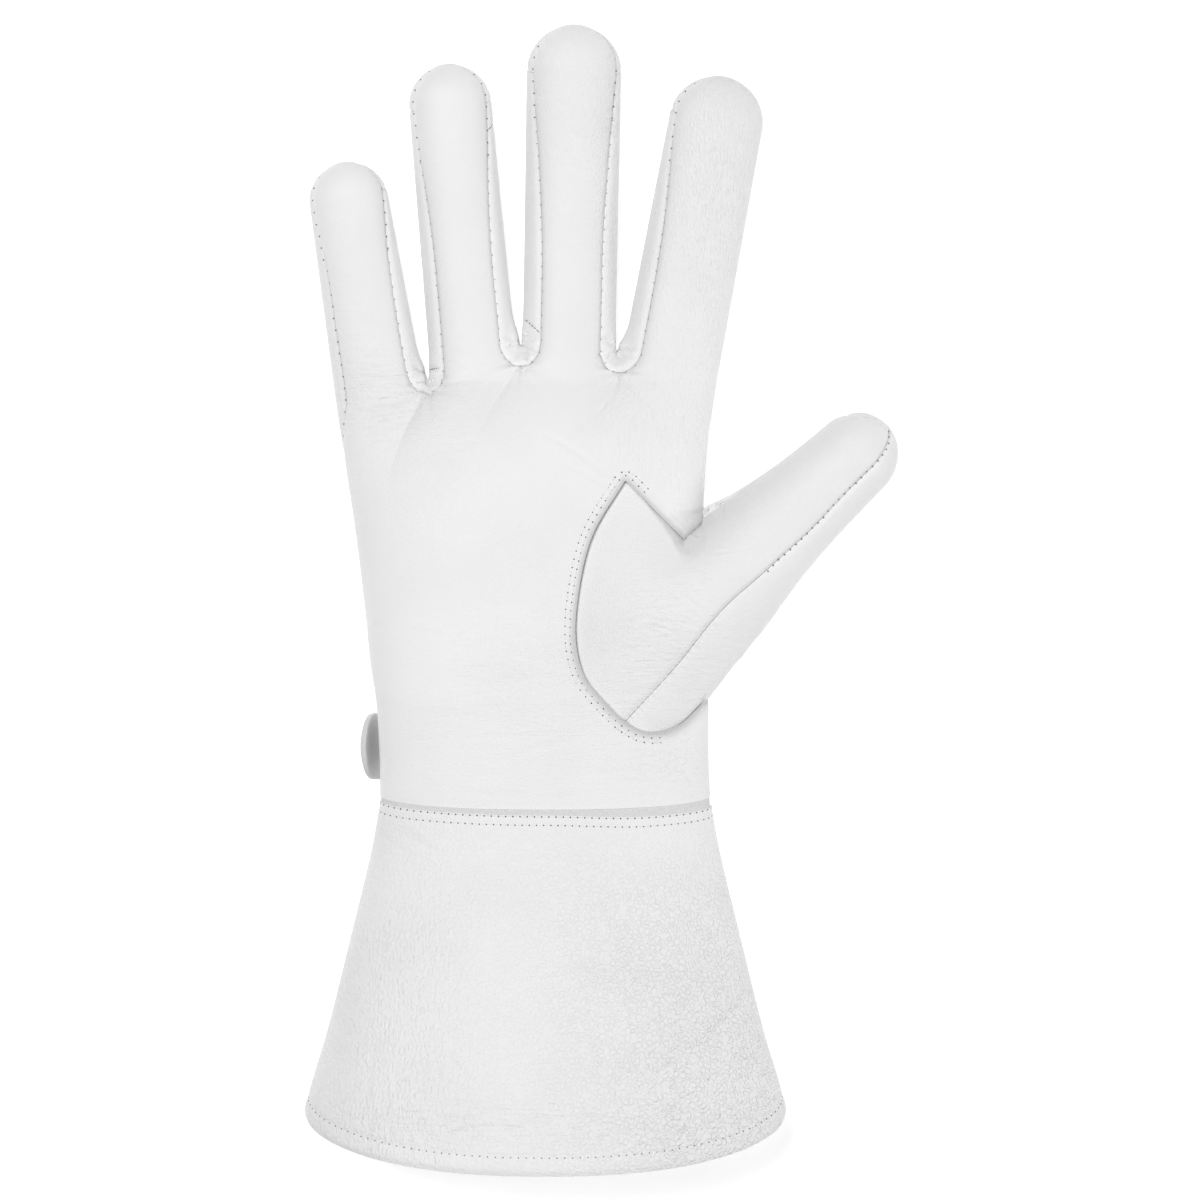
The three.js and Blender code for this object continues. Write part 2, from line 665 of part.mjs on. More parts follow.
const thumb = new Skin();
const seamTurns = thumbBaseSeam.map((row) => row.turn);
const frontTurns = [...seamTurns.filter((turn) => turn >= thumbFrontSeam),
  ...thumbUnderTurns.filter((turn) => turn <= thumbBackSeam)];
const backTurns = [...thumbUnderTurns.filter((turn) => turn >= thumbBackSeam),
  ...seamTurns.filter((turn) => turn > 0 && turn <= thumbFrontSeam).map((turn) => turn + 360)];
[[frontTurns, 'thumb_front'], [backTurns, 'thumb_back']].forEach(([turns, name]) => {
  thumb.patch(turns.length - 1, thumbRowShares.length - 1,
    (c, r) => thumbPoint(turns[c], thumbRowShares[r]),
    () => name);
});

// Strap: it lies under the wrist, and its free end stands up beside the hand.
const strapSection = bodySection(strapCentre);
const strapLow = snapHeight + seamGap + strapThickness;
const strapPath = new THREE.CatmullRomCurve3([
  [strapSewnEnd, strapLow],
  [0, strapLow],
  [-snapInset - snapRadius, strapLow],
  [-strapSection.halfWidth * 0.86, strapLow + snapHeight],
  [-strapSection.halfWidth - strapStandOff * 0.1, strapLow + strapStandOff * 1.2],
  [-strapSection.halfWidth - strapStandOff, strapEndHeight],
].map(([x, z]) => new THREE.Vector3(x, 0, z)), false, 'centripetal');
const strapRun = strapPath.getLength();
const strap = new Skin();
strap.patch(strapColumns, strapRows,
  (c, r) => {
    const share = r / strapRows;
    const along = strapRun * (share < 0.5 ? share * 1.2 : 0.6 + (share - 0.5) * 0.8);
    const pastRound = Math.max(0, along - (strapRun - strapEndRadius)) / strapEndRadius;
    const half = (strapWidth / 2) * lerp(1, Math.sqrt(1 - (0.96 * pastRound) ** 2), 0.92);
    const point = strapPath.getPointAt(along / strapRun);
    point.y = strapCentre + half * (1 - 2 * c / strapColumns);
    return point;
  },
  () => 'wrist_strap');

const snapProfile = [
  [0, 0],
  [snapRadius * 0.7, 0],
  [snapRadius, snapHeight * 0.5],
  [snapRadius, snapHeight],
  [0, snapHeight],
].map(([x, y]) => new THREE.Vector2(x, y));
const snapGeometry = new THREE.LatheGeometry(snapProfile, 24).rotateX(Math.PI / 2);

// Cutting the thumb's hole out of the palm with solids.
const wasm = await Module();
wasm.setup();

function solidOf(geometry) {
  const bare = geometry.clone();
  bare.deleteAttribute('normal');
  bare.deleteAttribute('uv');
  const merged = mergeVertices(bare, weld);
  return new wasm.Manifold(new wasm.Mesh({
    numProp: 3,
    vertProperties: new Float32Array(merged.attributes.position.array),
    triVerts: new Uint32Array(merged.index.array),
  }));
}

function geometryOf(solid) {
  const { vertProperties, triVerts } = solid.getMesh();
  const geometry = new THREE.BufferGeometry();
  geometry.setAttribute('position', new THREE.BufferAttribute(vertProperties, 3));
  geometry.setIndex(new THREE.BufferAttribute(triVerts, 1));
  return geometry;
}

const beyondHand = cuffHemWidth;
const holeOutline = new THREE.Shape([
  ...thumbBaseSeam.map(baseSeamPlan),
  new THREE.Vector2(beyondHand, seamTop.y),
  new THREE.Vector2(beyondHand, seamBottom.y),
]);
const holeCutter = new THREE.ExtrudeGeometry(holeOutline, { depth: thumbHoleDepth, bevelEnabled: false });
holeCutter.translate(0, 0, thumbHoleFloor);

// Materials
const leather = { roughness: 0.55, metalness: 0 };
const materials = {
  hand: new THREE.MeshStandardMaterial({ color: 0xf1f1f1, ...leather }),
  cuff: new THREE.MeshStandardMaterial({ color: 0xefefef, ...leather, roughness: 0.6 }),
  suede: new THREE.MeshStandardMaterial({ color: 0xd9d9d9, roughness: 0.9, metalness: 0 }),
  snap: new THREE.MeshStandardMaterial({ color: 0xe9e9e9, roughness: 0.35, metalness: 0 }),
};

const glove = new THREE.Group();
function add(name, geometry, material, parent = glove) {
  geometry.computeVertexNormals();
  const mesh = new THREE.Mesh(geometry, material.clone());
  mesh.name = name;
  parent.add(mesh);
  return mesh;
}

// Hand
const handWall = () => handLeather;
const thumbRoom = solidOf(thumb.filled(seamGap));
const palm = solidOf(body.panel('palm_panel', handWall)).subtract(solidOf(holeCutter)).subtract(thumbRoom);
add('palm_panel', geometryOf(palm), materials.hand);
add('back_panel', geometryOf(solidOf(body.panel('back_panel', handWall)).subtract(thumbRoom)), materials.hand);
fingers.forEach((finger) => {
  if (finger.innerGap) {
    add(`fourchette_${finger.name}_inner`, body.panel(`fourchette_${finger.name}_inner`, handWall), materials.hand);
  }
  if (finger.outerGap) {
    add(`fourchette_${finger.name}_outer`, body.panel(`fourchette_${finger.name}_outer`, handWall), materials.hand);
  }
});
add('thumb_front', thumb.panel('thumb_front', handWall), materials.hand);
add('thumb_back', thumb.panel('thumb_back', handWall), materials.hand);

// Wrist and cuff. The hem is folded in, so the cuff is thicker there.
const cuffWall = (point) => {
  const section = bodySection(point.y);
  const share = (point.x - section.centre) / section.halfWidth;
  const turn = turnAcross(clamp(share, -1, 1), handSquareness);
  return point.y < hemEdge(turn) + hemWidth * 1.2 ? cuffLeather + hemFold : cuffLeather;
};
add('wrist_seam_strip', body.panel('wrist_seam_strip', handWall), materials.suede);
add('cuff_front', body.panel('cuff_front', cuffWall), materials.cuff);
add('cuff_back', body.panel('cuff_back', cuffWall), materials.cuff);
add('wrist_strap', strap.panel('wrist_strap', () => strapThickness), materials.hand);
const snap = add('strap_snap', snapGeometry, materials.snap);
snap.position.set(-snapInset, strapCentre, 0);

// The origin is the middle of the bounding box, at the table.
const box = new THREE.Box3().setFromObject(glove);
const middle = box.getCenter(new THREE.Vector3());
glove.position.set(-middle.x, -middle.y, -box.min.z);

export default glove;
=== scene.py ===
"""Looks of a white leather parade glove for the right hand, with a flared gauntlet cuff.

The glove lies on its back with the palm up. Every surface is a function of two
parameters, worked out with numpy in millimetres in the glove's own plan, where y = 0 is
the wrist seam, and moved onto the CAD frame when its mesh is made.
"""

import logging
import math
from dataclasses import dataclass, field
from enum import Enum
from functools import cached_property
from typing import Callable, Optional

import bpy
import numpy as np
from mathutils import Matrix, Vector


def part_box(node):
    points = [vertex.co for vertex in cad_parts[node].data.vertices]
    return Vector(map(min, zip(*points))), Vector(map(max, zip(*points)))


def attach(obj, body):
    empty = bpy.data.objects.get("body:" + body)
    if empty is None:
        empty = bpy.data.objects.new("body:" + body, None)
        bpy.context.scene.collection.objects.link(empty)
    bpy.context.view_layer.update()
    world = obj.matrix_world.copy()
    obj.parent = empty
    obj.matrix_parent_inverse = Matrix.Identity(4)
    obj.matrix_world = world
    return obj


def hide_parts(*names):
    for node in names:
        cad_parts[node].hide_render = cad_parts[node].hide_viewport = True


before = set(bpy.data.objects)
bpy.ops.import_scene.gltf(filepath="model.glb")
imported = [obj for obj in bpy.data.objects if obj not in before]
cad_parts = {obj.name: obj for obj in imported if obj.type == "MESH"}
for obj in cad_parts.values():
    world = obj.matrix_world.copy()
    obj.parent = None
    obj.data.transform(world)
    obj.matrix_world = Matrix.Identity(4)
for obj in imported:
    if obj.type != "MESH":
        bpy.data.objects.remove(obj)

Numbers = float | np.ndarray
LOG = logging.getLogger("glove")
METRES_PER_MM = 0.001
WELD_MM = 1e-3
SHARP_EDGE = 50.0


class Side(Enum):
    """The four sides of a finger, in order round it from the thumb's side of the palm."""

    PALM = 0
    OUTER = 1
    BACK = 2
    INNER = 3


# Small maths


def lerp(start: Numbers, end: Numbers, share: Numbers) -> Numbers:
    """Returns the value at a share of the way from start to end."""
    return start + (end - start) * share


def smoothstep(value: Numbers, low: float, high: float) -> Numbers:
    """Returns 0 below low, 1 above high and a smooth ramp between."""
    t = np.clip((value - low) / (high - low), 0.0, 1.0)
    return t * t * (3.0 - 2.0 * t)


def bell(offset: Numbers, width: Numbers) -> Numbers:
    """Returns 1 at no offset, falling off as a bell whose width is given."""
    return np.exp(-((offset / width) ** 2))


def oval(x: np.ndarray, y: np.ndarray, centre: tuple[float, float],
         reach: tuple[float, float]) -> np.ndarray:
    """Returns a soft oval patch in plan, 1 at its centre."""
    return bell(x - centre[0], reach[0]) * bell(y - centre[1], reach[1])


def run_along(line: np.ndarray) -> np.ndarray:
    """Returns how far along a line each of its points is."""
    return np.concatenate(([0.0], np.cumsum(np.linalg.norm(np.diff(line, axis=0), axis=1))))


def soft_waves(points: np.ndarray, seed: int, steepness: float, count: int) -> np.ndarray:
    """Finds the gentle unevenness of leather.

    Formula: a sum of sine waves, each with a direction and a phase drawn at random.

    Args:
        points: Points on the leather.
        seed: Seed of the random draws.
        steepness: Spread of the waves' turns for each millimetre, in radians.
        count: Number of waves.

    Returns:
        Heights, which are about as high as the square root of the count.
    """
    rng = np.random.default_rng(seed)
    phases = rng.uniform(0, 6.3, count)
    return sum(np.sin(points @ rng.normal(0, steepness, 3) + phase) for phase in phases)


def unit(vectors: np.ndarray) -> np.ndarray:
    """Returns the vectors scaled to length 1."""
    length = np.linalg.norm(vectors, axis=-1, keepdims=True)
    return vectors / np.maximum(length, 1e-12)


def rounded(turn: np.ndarray, squareness: float) -> tuple[np.ndarray, np.ndarray]:
    """Finds places on a rounded section.

    Formula: the cosine and sine of the turn, each raised to 2 / squareness with its
    sign kept, so 2 gives an ellipse and more gives fuller corners.

    Args:
        turn: Turns round the section in degrees, from the thumb's side.
        squareness: Power of the section.

    Returns:
        Shares of the half width and of the half depth.
    """
    cosine, sine = np.cos(np.radians(turn)), np.sin(np.radians(turn))
    power = 2.0 / squareness
    across = np.sign(cosine) * np.abs(cosine) ** power
    up = np.sign(sine) * np.abs(sine) ** power
    return across, up


def turn_across(share: np.ndarray, squareness: float) -> np.ndarray:
    """Returns the turn in degrees, on the upper side, at a share of the half width."""
    share = np.clip(share, -1.0, 1.0)
    return np.degrees(np.arccos(np.sign(share) * np.abs(share) ** (squareness / 2.0)))


@dataclass(frozen=True)
class Table:
    """Sections of a form, as rows of shares read on a smooth curve.

    The first column says how far along the form a row is.
    """

    columns: tuple[str, ...]
    rows: tuple[tuple[float, ...], ...]

    def read(self, column: str, along: np.ndarray) -> np.ndarray:
        """Reads one column at places along the form.

        Formula: cubic pieces through the rows, with the slope at a row taken across its
        neighbours, or level where the values turn back or stay the same.

        Args:
            column: Name of the column.
            along: Places, in the first column's terms.

        Returns:
            The column's values there.
        """
        data = np.array(self.rows, float)
        x, y = data[:, 0], data[:, self.columns.index(column)]
        steps = np.diff(y) / np.diff(x)
        before = np.concatenate((steps[:1], steps))
        after = np.concatenate((steps, steps[-1:]))
        low = np.maximum(np.arange(len(x)) - 1, 0)
        high = np.minimum(np.arange(len(x)) + 1, len(x) - 1)
        slope = np.where(before * after > 0, (y[high] - y[low]) / (x[high] - x[low]), 0.0)
        t = np.clip(along, x[0], x[-1])
        i = np.searchsorted(x[1:-1], t, side="left")
        gap = x[i + 1] - x[i]
        u = (t - x[i]) / gap
        return (
            (1 + 2 * u) * (1 - u) ** 2 * y[i]
            + u * (1 - u) ** 2 * gap * slope[i]
            + u * u * (3 - 2 * u) * y[i + 1]
            + u * u * (u - 1) * gap * slope[i + 1]
        )


# The glove's form, in millimetres, with shares of it in the tables


@dataclass(frozen=True)
class Sizes:
    """Driving sizes of the glove, in millimetres and degrees."""

    hand_leather: float = 1.3
    cuff_leather: float = 1.6
    seam_gap: float = 0.3
    seam_strip: float = 2.6
    hem_width: float = 5.0
    hem_fold: float = 1.1
    wrist_width: float = 98.6
    hand_depth: float = 32.0
    hand_lean: float = -5.8
    hand_squareness: float = 2.3
    floor_softness: float = 2.5
    knuckle_fade: float = 34.0
    wrist_rise: float = 2.9
    wrist_dip: float = 4.0
    cuff_length: float = 109.6
    cuff_side_length: float = 92.0
    hem_span: float = 146.0
    hem_depth: float = 54.0
    hem_curl: float = 1.15
    finger_squareness: float = 2.15
    fingertip_rise: float = 5.0
    web_radius: float = 7.0
    web_arc: float = 48.0
    fourchette_end: float = 0.86
    thumb_side_level: float = 127.0
    little_side_level: float = 121.0
    strap_width: float = 20.0
    strap_thickness: float = 2.2
    strap_centre: float = 17.6
    strap_margin: float = 1.5
    strap_fade: float = 30.0
    palm_settling: float = 0.5
    snap_radius: float = 6.0
    snap_height: float = 0.8
    snap_inset: float = 22.0

    @property
    def strap_stack(self) -> float:
        """Height by which the strap and its snap lift the wrist."""
        return self.snap_height + self.strap_thickness + 2 * self.seam_gap


SIZES = Sizes()

HAND_SECTIONS = Table(
    ("along", "spread", "shift", "depth", "press"),
    (
        (0.0, 0.03, 0.0, 0.92, 0.0),
        (0.1, 0.0, 0.06, 0.94, 0.0),
        (0.24, 0.05, 0.16, 0.97, 0.0),
        (0.34, 0.14, 0.36, 1.0, 0.07),
        (0.46, 0.21, 0.52, 1.0, 0.09),
        (0.67, 0.35, 0.88, 0.96, 0.09),
        (0.86, 0.66, 1.06, 0.86, 0.06),
        (1.0, 1.0, 1.0, 0.72, 0.02),
    ),
)
CUFF_SECTIONS = Table(
    ("along", "flare", "rise", "press"),
    (
        (0.0, 0.02, 0.0, 0.0),
        (0.12, 0.12, 0.08, 0.01),
        (0.35, 0.375, 0.36, 0.04),
        (0.6, 0.66, 0.68, 0.06),
        (0.82, 0.945, 0.93, 0.07),
        (1.0, 1.02, 1.0, 0.07),
    ),
)
FINGER_SEAMS = Table(
    ("along", "angle"),
    ((0.0, 1.0), (0.35, 0.98), (0.6, 0.82), (0.8, 0.56), (1.0, 0.34)),
)
SIDE_SEAM_SINK = Table(("along", "sunk"), ((0.0, 1.0), (0.6, 0.92), (0.8, 0.6), (1.0, 0.0)))
WRIST_CORNERS = (30.0, 206.0, 228.0, 324.0)


def flattened(z: np.ndarray) -> np.ndarray:
    """Returns heights after the leather has flattened softly on the table at z = 0."""
    soft = SIZES.floor_softness
    curve = (np.clip(z, -soft, soft) + soft) ** 2 / (4 * soft)
    return np.where(z >= soft, z, curve)


@dataclass(frozen=True)
class Gap:
    """The web between two neighbouring fingers, where their fourchettes meet."""

    x: float
    level: float
    web: float
    middle: float
    half_height: float


@dataclass
class Finger:
    """One finger of the glove: a rounded tube that grows out of the knuckles."""

    name: str
    span: float
    root_width: float
    tip_width: float
    depth: float
    length: float
    lean: float
    outer_seam: float
    inner_seam: float
    root_place: np.ndarray = field(default_factory=lambda: np.zeros(2))
    inner_gap: Optional[Gap] = None
    outer_gap: Optional[Gap] = None

    @property
    def direction(self) -> np.ndarray:
        """Plan direction from the root to the tip."""
        return np.array([-math.sin(math.radians(self.lean)), math.cos(math.radians(self.lean))])

    @property
    def across(self) -> np.ndarray:
        """Plan direction to the thumb's side."""
        return np.array([self.direction[1], -self.direction[0]])

    def seam_height(self, angle: float) -> float:
        """Returns the height of a seam above the finger's middle, at its root."""
        return self.depth / 2 * float(rounded(np.array(angle), SIZES.finger_squareness)[1])

    def tube(self, turn: np.ndarray, s: np.ndarray) -> np.ndarray:
        """Places points on the finger as a plain tube with a round tip.

        Formula: a rounded section carried along the finger's axis, whose half sizes
        shrink over the tip as a quarter circle, while the axis rises with the square of
        the distance.

        Args:
            turn: Turns round the section in degrees.
            s: Distances from the root.

        Returns:
            Points, with x, y and z on the last axis.
        """
        turn, s = np.broadcast_arrays(np.asarray(turn, float), np.asarray(s, float))
        radius = self.tip_width / 2
        straight = self.length - radius
        width = lerp(self.root_width, self.tip_width, np.clip(s / straight, 0, 1))
        past = np.clip((s - straight) / radius, 0, 1)
        tip = np.sqrt(1 - past**2)
        out, up = rounded(turn, SIZES.finger_squareness)
        out = width / 2 * tip * out
        rise = SIZES.fingertip_rise * np.clip(s / self.length, 0, 1) ** 2
        plan = self.root_place + s[..., None] * self.direction + out[..., None] * self.across
        z = flattened(self.depth / 2 + rise + self.depth / 2 * tip * up)
        return np.concatenate((plan, z[..., None]), axis=-1)

    def corners(self, s: np.ndarray) -> np.ndarray:
        """Finds the turns where the finger's sides meet.

        Args:
            s: Distances from the root.

        Returns:
            The five turns that bound the four sides, on a new last axis.
        """
        share = FINGER_SEAMS.read("angle", np.clip(np.asarray(s, float) / self.length, 0, 1))
        inner, outer = self.inner_seam * share, self.outer_seam * share
        return np.stack((inner, 180 - outer, 180 + outer, 360 - inner, 360 + inner), axis=-1)

    def turn_on(self, side: Side, q: np.ndarray, s: np.ndarray) -> np.ndarray:
        """Returns the turn at a share q of the way over one side."""
        corners = self.corners(s)
        return lerp(corners[..., side.value], corners[..., side.value + 1], q)

    def root(self, side: Side, q: np.ndarray) -> np.ndarray:
        """Places points where the finger grows out of the hand.

        Formula: on a web, an arc between the two seams; over the palm or the back, a
        straight line between the seams lifted by the finger's own section.

        Args:
            side: Side of the finger.
            q: Shares of the way over that side.

        Returns:
            Points, with x, y and z on the last axis.
        """
        q = np.asarray(q, float)
        turn = self.turn_on(side, q, np.zeros_like(q))
        if side in (Side.INNER, Side.OUTER):
            gap = self.inner_gap if side is Side.INNER else self.outer_gap
            if gap is None:
                return self.tube(turn, np.zeros_like(q))
            seam = math.radians(SIZES.web_arc)
            angle = seam * (2 * q - 1) * (1 if side is Side.INNER else -1)
            bulge = (np.cos(angle) - math.cos(seam)) / (1 - math.cos(seam))
            up = np.sin(angle) / math.sin(seam)
            z = flattened(gap.middle + gap.half_height * up)
            return np.stack((np.full_like(q, gap.x), gap.level + gap.web * bulge, z), axis=-1)
        sign = 1 if side is Side.PALM else -1
        start, end = self.corners(np.zeros(1))[0, [side.value, side.value + 1]]
        gaps = (self.inner_gap, self.outer_gap)[::sign]

        def edge(gap: Optional[Gap], at: float) -> np.ndarray:
            """Returns the end of a side's root line."""
            if gap is None:
                return self.tube(np.array(at), np.array(0.0))
            return np.array([gap.x, gap.level, gap.middle + sign * gap.half_height])

        square = SIZES.finger_squareness
        out, up = rounded(turn, square)
        (out0, up0), (out1, up1) = (rounded(np.array(at), square) for at in (start, end))
        share = (out - out0) / (out1 - out0)
        points = lerp(edge(gaps[0], start), edge(gaps[1], end), share[..., None])
        points[..., 2] = flattened(points[..., 2] + self.depth / 2 * (up - lerp(up0, up1, share)))
        return points

    def surface(self, side: Side, q: np.ndarray, s: np.ndarray) -> np.ndarray:
        """Places a grid of points on one side of the finger.

        Formula: the tube, drawn to the root over the web's radius along a quarter circle.

        Args:
            side: Side of the finger.
            q: Shares of the way over the side, one for each column.
            s: Distances from the root, one for each row.

        Returns:
            Points by column and row.
        """
        root = self.root(side, q)
        start = (root[:, :2] - self.root_place) @ self.direction
        along = s[None, :] + start[:, None] * (1 - s[None, :] / self.length)
        tube = self.tube(self.turn_on(side, q[:, None], s[None, :]), along)
        base = self.tube(self.turn_on(side, q, np.zeros_like(q)), start)
        near = np.clip((along - start[:, None]) / SIZES.web_radius, 0, 1)
        pull = 1 - np.sqrt(1 - (1 - near) ** 2)
        return tube + pull[..., None] * (root - base)[:, None, :]

    def rows(self, cell: float) -> np.ndarray:
        """Spaces the rows of points, closer over the web and the tip.

        Args:
            cell: Usual distance between two rows.

        Returns:
            Distances from the root.
        """
        radius = self.tip_width / 2
        straight = self.length - radius
        count = int(straight / cell)
        shaft = straight * np.linspace(0, 1, count + 1) ** 1.15
        tip = straight + radius * np.sin(np.linspace(0, math.pi / 2, int(radius * 1.8 / cell) + 1))
        return np.concatenate((shaft, tip[1:]))


def make_fingers() -> list[Finger]:
    """Places the four fingers side by side across the knuckles.

    Returns:
        The fingers from the thumb outwards.
    """
    # Name, span, root and tip width, depth, length, lean, outer and inner seam's turn
    fingers = [
        Finger("index", 31.2, 29.4, 28.3, 19.5, 91.6, -10.6, 50, 44),
        Finger("middle", 28.6, 27.8, 28.4, 19.5, 103.1, -1, 52, 46),
        Finger("ring", 28.0, 26.2, 24.8, 18.5, 94.6, 5.1, 46, 48),
        Finger("little", 28.7, 27.0, 23.8, 17.5, 71.3, 9.1, 38, 46),
    ]
    # Level of each web's seams, and how far the web bulges above them
    webs = ((130.3, 6.2), (132.1, 6.0), (124.4, 3.4))
    levels = [SIZES.thumb_side_level, *(web[0] for web in webs), SIZES.little_side_level]
    edge = SIZES.hand_lean + sum(finger.span for finger in fingers) / 2
    for i, finger in enumerate(fingers):
        finger.root_place = np.array([edge - finger.span / 2, (levels[i] + levels[i + 1]) / 2])
        edge -= finger.span
        if i < len(webs):
            mate = fingers[i + 1]
            height = (finger.seam_height(finger.outer_seam) + mate.seam_height(mate.inner_seam)) / 2
            gap = Gap(edge, *webs[i], (finger.depth + mate.depth) / 4, height)
            finger.outer_gap = mate.inner_gap = gap
    return fingers


class BodyShape:
    """The hand and the cuff, whose columns run on round it as the fingers' sides do."""

    def __init__(self) -> None:
        """Places the fingers and finds the hand's four corners at the knuckles."""
        self.fingers = make_fingers()
        self.knuckle_width = sum(finger.span for finger in self.fingers)
        first, last = self.fingers[0], self.fingers[-1]
        ends = ((first, Side.PALM, 0), (last, Side.PALM, 1), (last, Side.BACK, 0), (first, Side.BACK, 1))
        corners = [float(self.knuckle_turn(f, side, np.array([float(q)]))[0]) for f, side, q in ends]
        self.knuckle_corners = np.array([*corners, corners[0] + 360])

    def section(self, y: np.ndarray) -> tuple[np.ndarray, ...]:
        """Finds the section at distances from the wrist seam.

        Formula: widths and depths between the wrist's and the knuckles' or the hem's, by
        the shares in the tables, lifted where the strap lies under the wrist.

        Args:
            y: Distances from the wrist seam, to the fingers.

        Returns:
            The centre, the half width, the half depth and the middle's height.
        """
        hand, cuff = y / SIZES.thumb_side_level, -y / SIZES.cuff_length
        in_hand = y >= 0

        def pick(column: str, other: str) -> np.ndarray:
            """Returns a share from the hand's table or the cuff's."""
            in_cuff = CUFF_SECTIONS.read(other, cuff)
            return np.where(in_hand, HAND_SECTIONS.read(column, hand), in_cuff)

        wide = np.where(in_hand, self.knuckle_width, SIZES.hem_span)
        width = lerp(SIZES.wrist_width, wide, pick("spread", "flare"))
        wrist_depth = HAND_SECTIONS.rows[0][3] * SIZES.hand_depth
        share = pick("depth", "rise")
        cuff_depth = lerp(wrist_depth, SIZES.hem_depth, share)
        depth = np.where(in_hand, SIZES.hand_depth * share, cuff_depth)
        centre = np.where(in_hand, SIZES.hand_lean * HAND_SECTIONS.read("shift", hand), 0.0)
        return centre, width / 2, depth / 2, depth * (0.5 - pick("press", "press")) + self.lift(y)

    def point(self, turn: np.ndarray, y: np.ndarray) -> np.ndarray:
        """Places points on the hand or the cuff.

        Formula: a rounded section, settled over the strap and flattened on the table.

        Args:
            turn: Turns round the section in degrees.
            y: Distances from the wrist seam.

        Returns:
            Points, with x, y and z on the last axis.
        """
        turn, y = np.broadcast_arrays(np.asarray(turn, float), np.asarray(y, float))
        centre, half_width, half_depth, middle = self.section(y)
        across, up = rounded(turn, SIZES.hand_squareness)
        settled = SIZES.palm_settling * self.lift(y) * smoothstep(up, 0.0, 0.9)
        z = flattened(middle + half_depth * up - settled)
        return np.stack((centre + half_width * across, y, z), axis=-1)

    @staticmethod
    def lift(y: np.ndarray) -> np.ndarray:
        """Returns how far the strap under the wrist lifts the glove."""
        beyond = np.abs(y - SIZES.strap_centre) - SIZES.strap_width / 2 - SIZES.strap_margin
        return SIZES.strap_stack * (1 - smoothstep(beyond, 0, SIZES.strap_fade))

    def palm_height(self, plan: np.ndarray) -> np.ndarray:
        """Finds the height of the palm.

        Args:
            plan: Places, with x and y on the last axis.

        Returns:
            Heights above the table.
        """
        centre, half_width, _, _ = self.section(plan[..., 1])
        turn = turn_across((plan[..., 0] - centre) / half_width, SIZES.hand_squareness)
        return self.point(turn, plan[..., 1])[..., 2]

    @staticmethod
    def wrist_edge(turn: np.ndarray) -> np.ndarray:
        """Returns where the hand's lower edge is, which dips towards the middle."""
        return SIZES.wrist_rise - SIZES.wrist_dip * np.abs(np.sin(np.radians(turn)))

    @staticmethod
    def hem_edge(turn: np.ndarray) -> np.ndarray:
        """Returns where the cuff ends, which is further down in the middle."""
        curve = np.abs(np.sin(np.radians(turn))) ** SIZES.hem_curl
        return -lerp(SIZES.cuff_side_length, SIZES.cuff_length, curve)

    def knuckle_turn(self, finger: Finger, side: Side, q: np.ndarray) -> np.ndarray:
        """Finds the hand's turns at the roots of a finger.

        Args:
            finger: The finger.
            side: Side of the finger.
            q: Shares of the way over that side.

        Returns:
            Turns in degrees.
        """
        root = finger.root(side, q)
        centre, half_width, _, _ = self.section(root[..., 1])
        turn = turn_across((root[..., 0] - centre) / half_width, SIZES.hand_squareness)
        return 360 - turn if side is Side.BACK else turn

    def turn(self, finger: Finger, side: Side, q: np.ndarray, v: np.ndarray) -> np.ndarray:
        """Finds the turns of columns of the hand on their way to the wrist.

        Formula: each column keeps its share of the way between two of the hand's four
        corners, which go from their turns at the wrist (v = 0) to those at the knuckles
        (v = 1). The little finger's corner sinks faster, as its seam does.

        Args:
            finger: Finger that the columns run into.
            side: Side of that finger.
            q: Shares of the way over the side, one for each column.
            v: Shares of the way to the knuckles, one for each row.

        Returns:
            Turns in degrees by column and row.
        """
        sunk = SIDE_SEAM_SINK.read("sunk", v)
        knuckles = self.knuckle_corners
        corners = [lerp(WRIST_CORNERS[i], knuckles[i], v) for i in range(4)]
        corners[1] = lerp(knuckles[1], WRIST_CORNERS[1], sunk)
        corners.append(corners[0] + 360)
        i = side.value
        share = q
        if side in (Side.PALM, Side.BACK):
            share = (self.knuckle_turn(finger, side, q) - knuckles[i]) / (knuckles[i + 1] - knuckles[i])
        return lerp(corners[i][None, :], corners[i + 1][None, :], share[:, None])

    def hand(self, finger: Finger, side: Side, q: np.ndarray, v: np.ndarray) -> np.ndarray:
        """Places a grid of points on the hand below one side of a finger.

        Formula: the hand's section, drawn to the finger's root with the square of the
        nearness to the knuckles.

        Args:
            finger: Finger that the columns run into.
            side: Side of that finger.
            q: Shares of the way over the side, one for each column.
            v: Shares of the way to the knuckles, one for each row.

        Returns:
            Points by column and row.
        """
        root = finger.root(side, q)
        turn = self.turn(finger, side, q, v)
        y = lerp(self.wrist_edge(turn), root[:, 1:2], v[None, :])
        top = self.turn(finger, side, q, np.ones(1))[:, 0]
        missing = root - self.point(top, root[:, 1])
        near = np.clip(1 - (1 - v)[None, :] * root[:, 1:2] / SIZES.knuckle_fade, 0, 1)
        return self.point(turn, y) + (near**2)[..., None] * missing[:, None, :]

    def band(self, finger: Finger, side: Side, q: np.ndarray, low: Callable, high: Callable,
             share: np.ndarray) -> np.ndarray:
        """Places a grid of points on the cuff or the strip between two edges.

        Args:
            finger: Finger that the columns run into.
            side: Side of that finger.
            q: Shares of the way over the side, one for each column.
            low: Gives the lower edge's distance from the wrist at a turn.
            high: Gives the upper edge's distance from the wrist at a turn.
            share: Shares of the way from the lower to the upper edge, for each row.

        Returns:
            Points by column and row.
        """
        turn = self.turn(finger, side, q, np.zeros(1))
        return self.point(turn, lerp(low(turn), high(turn), share[None, :]))

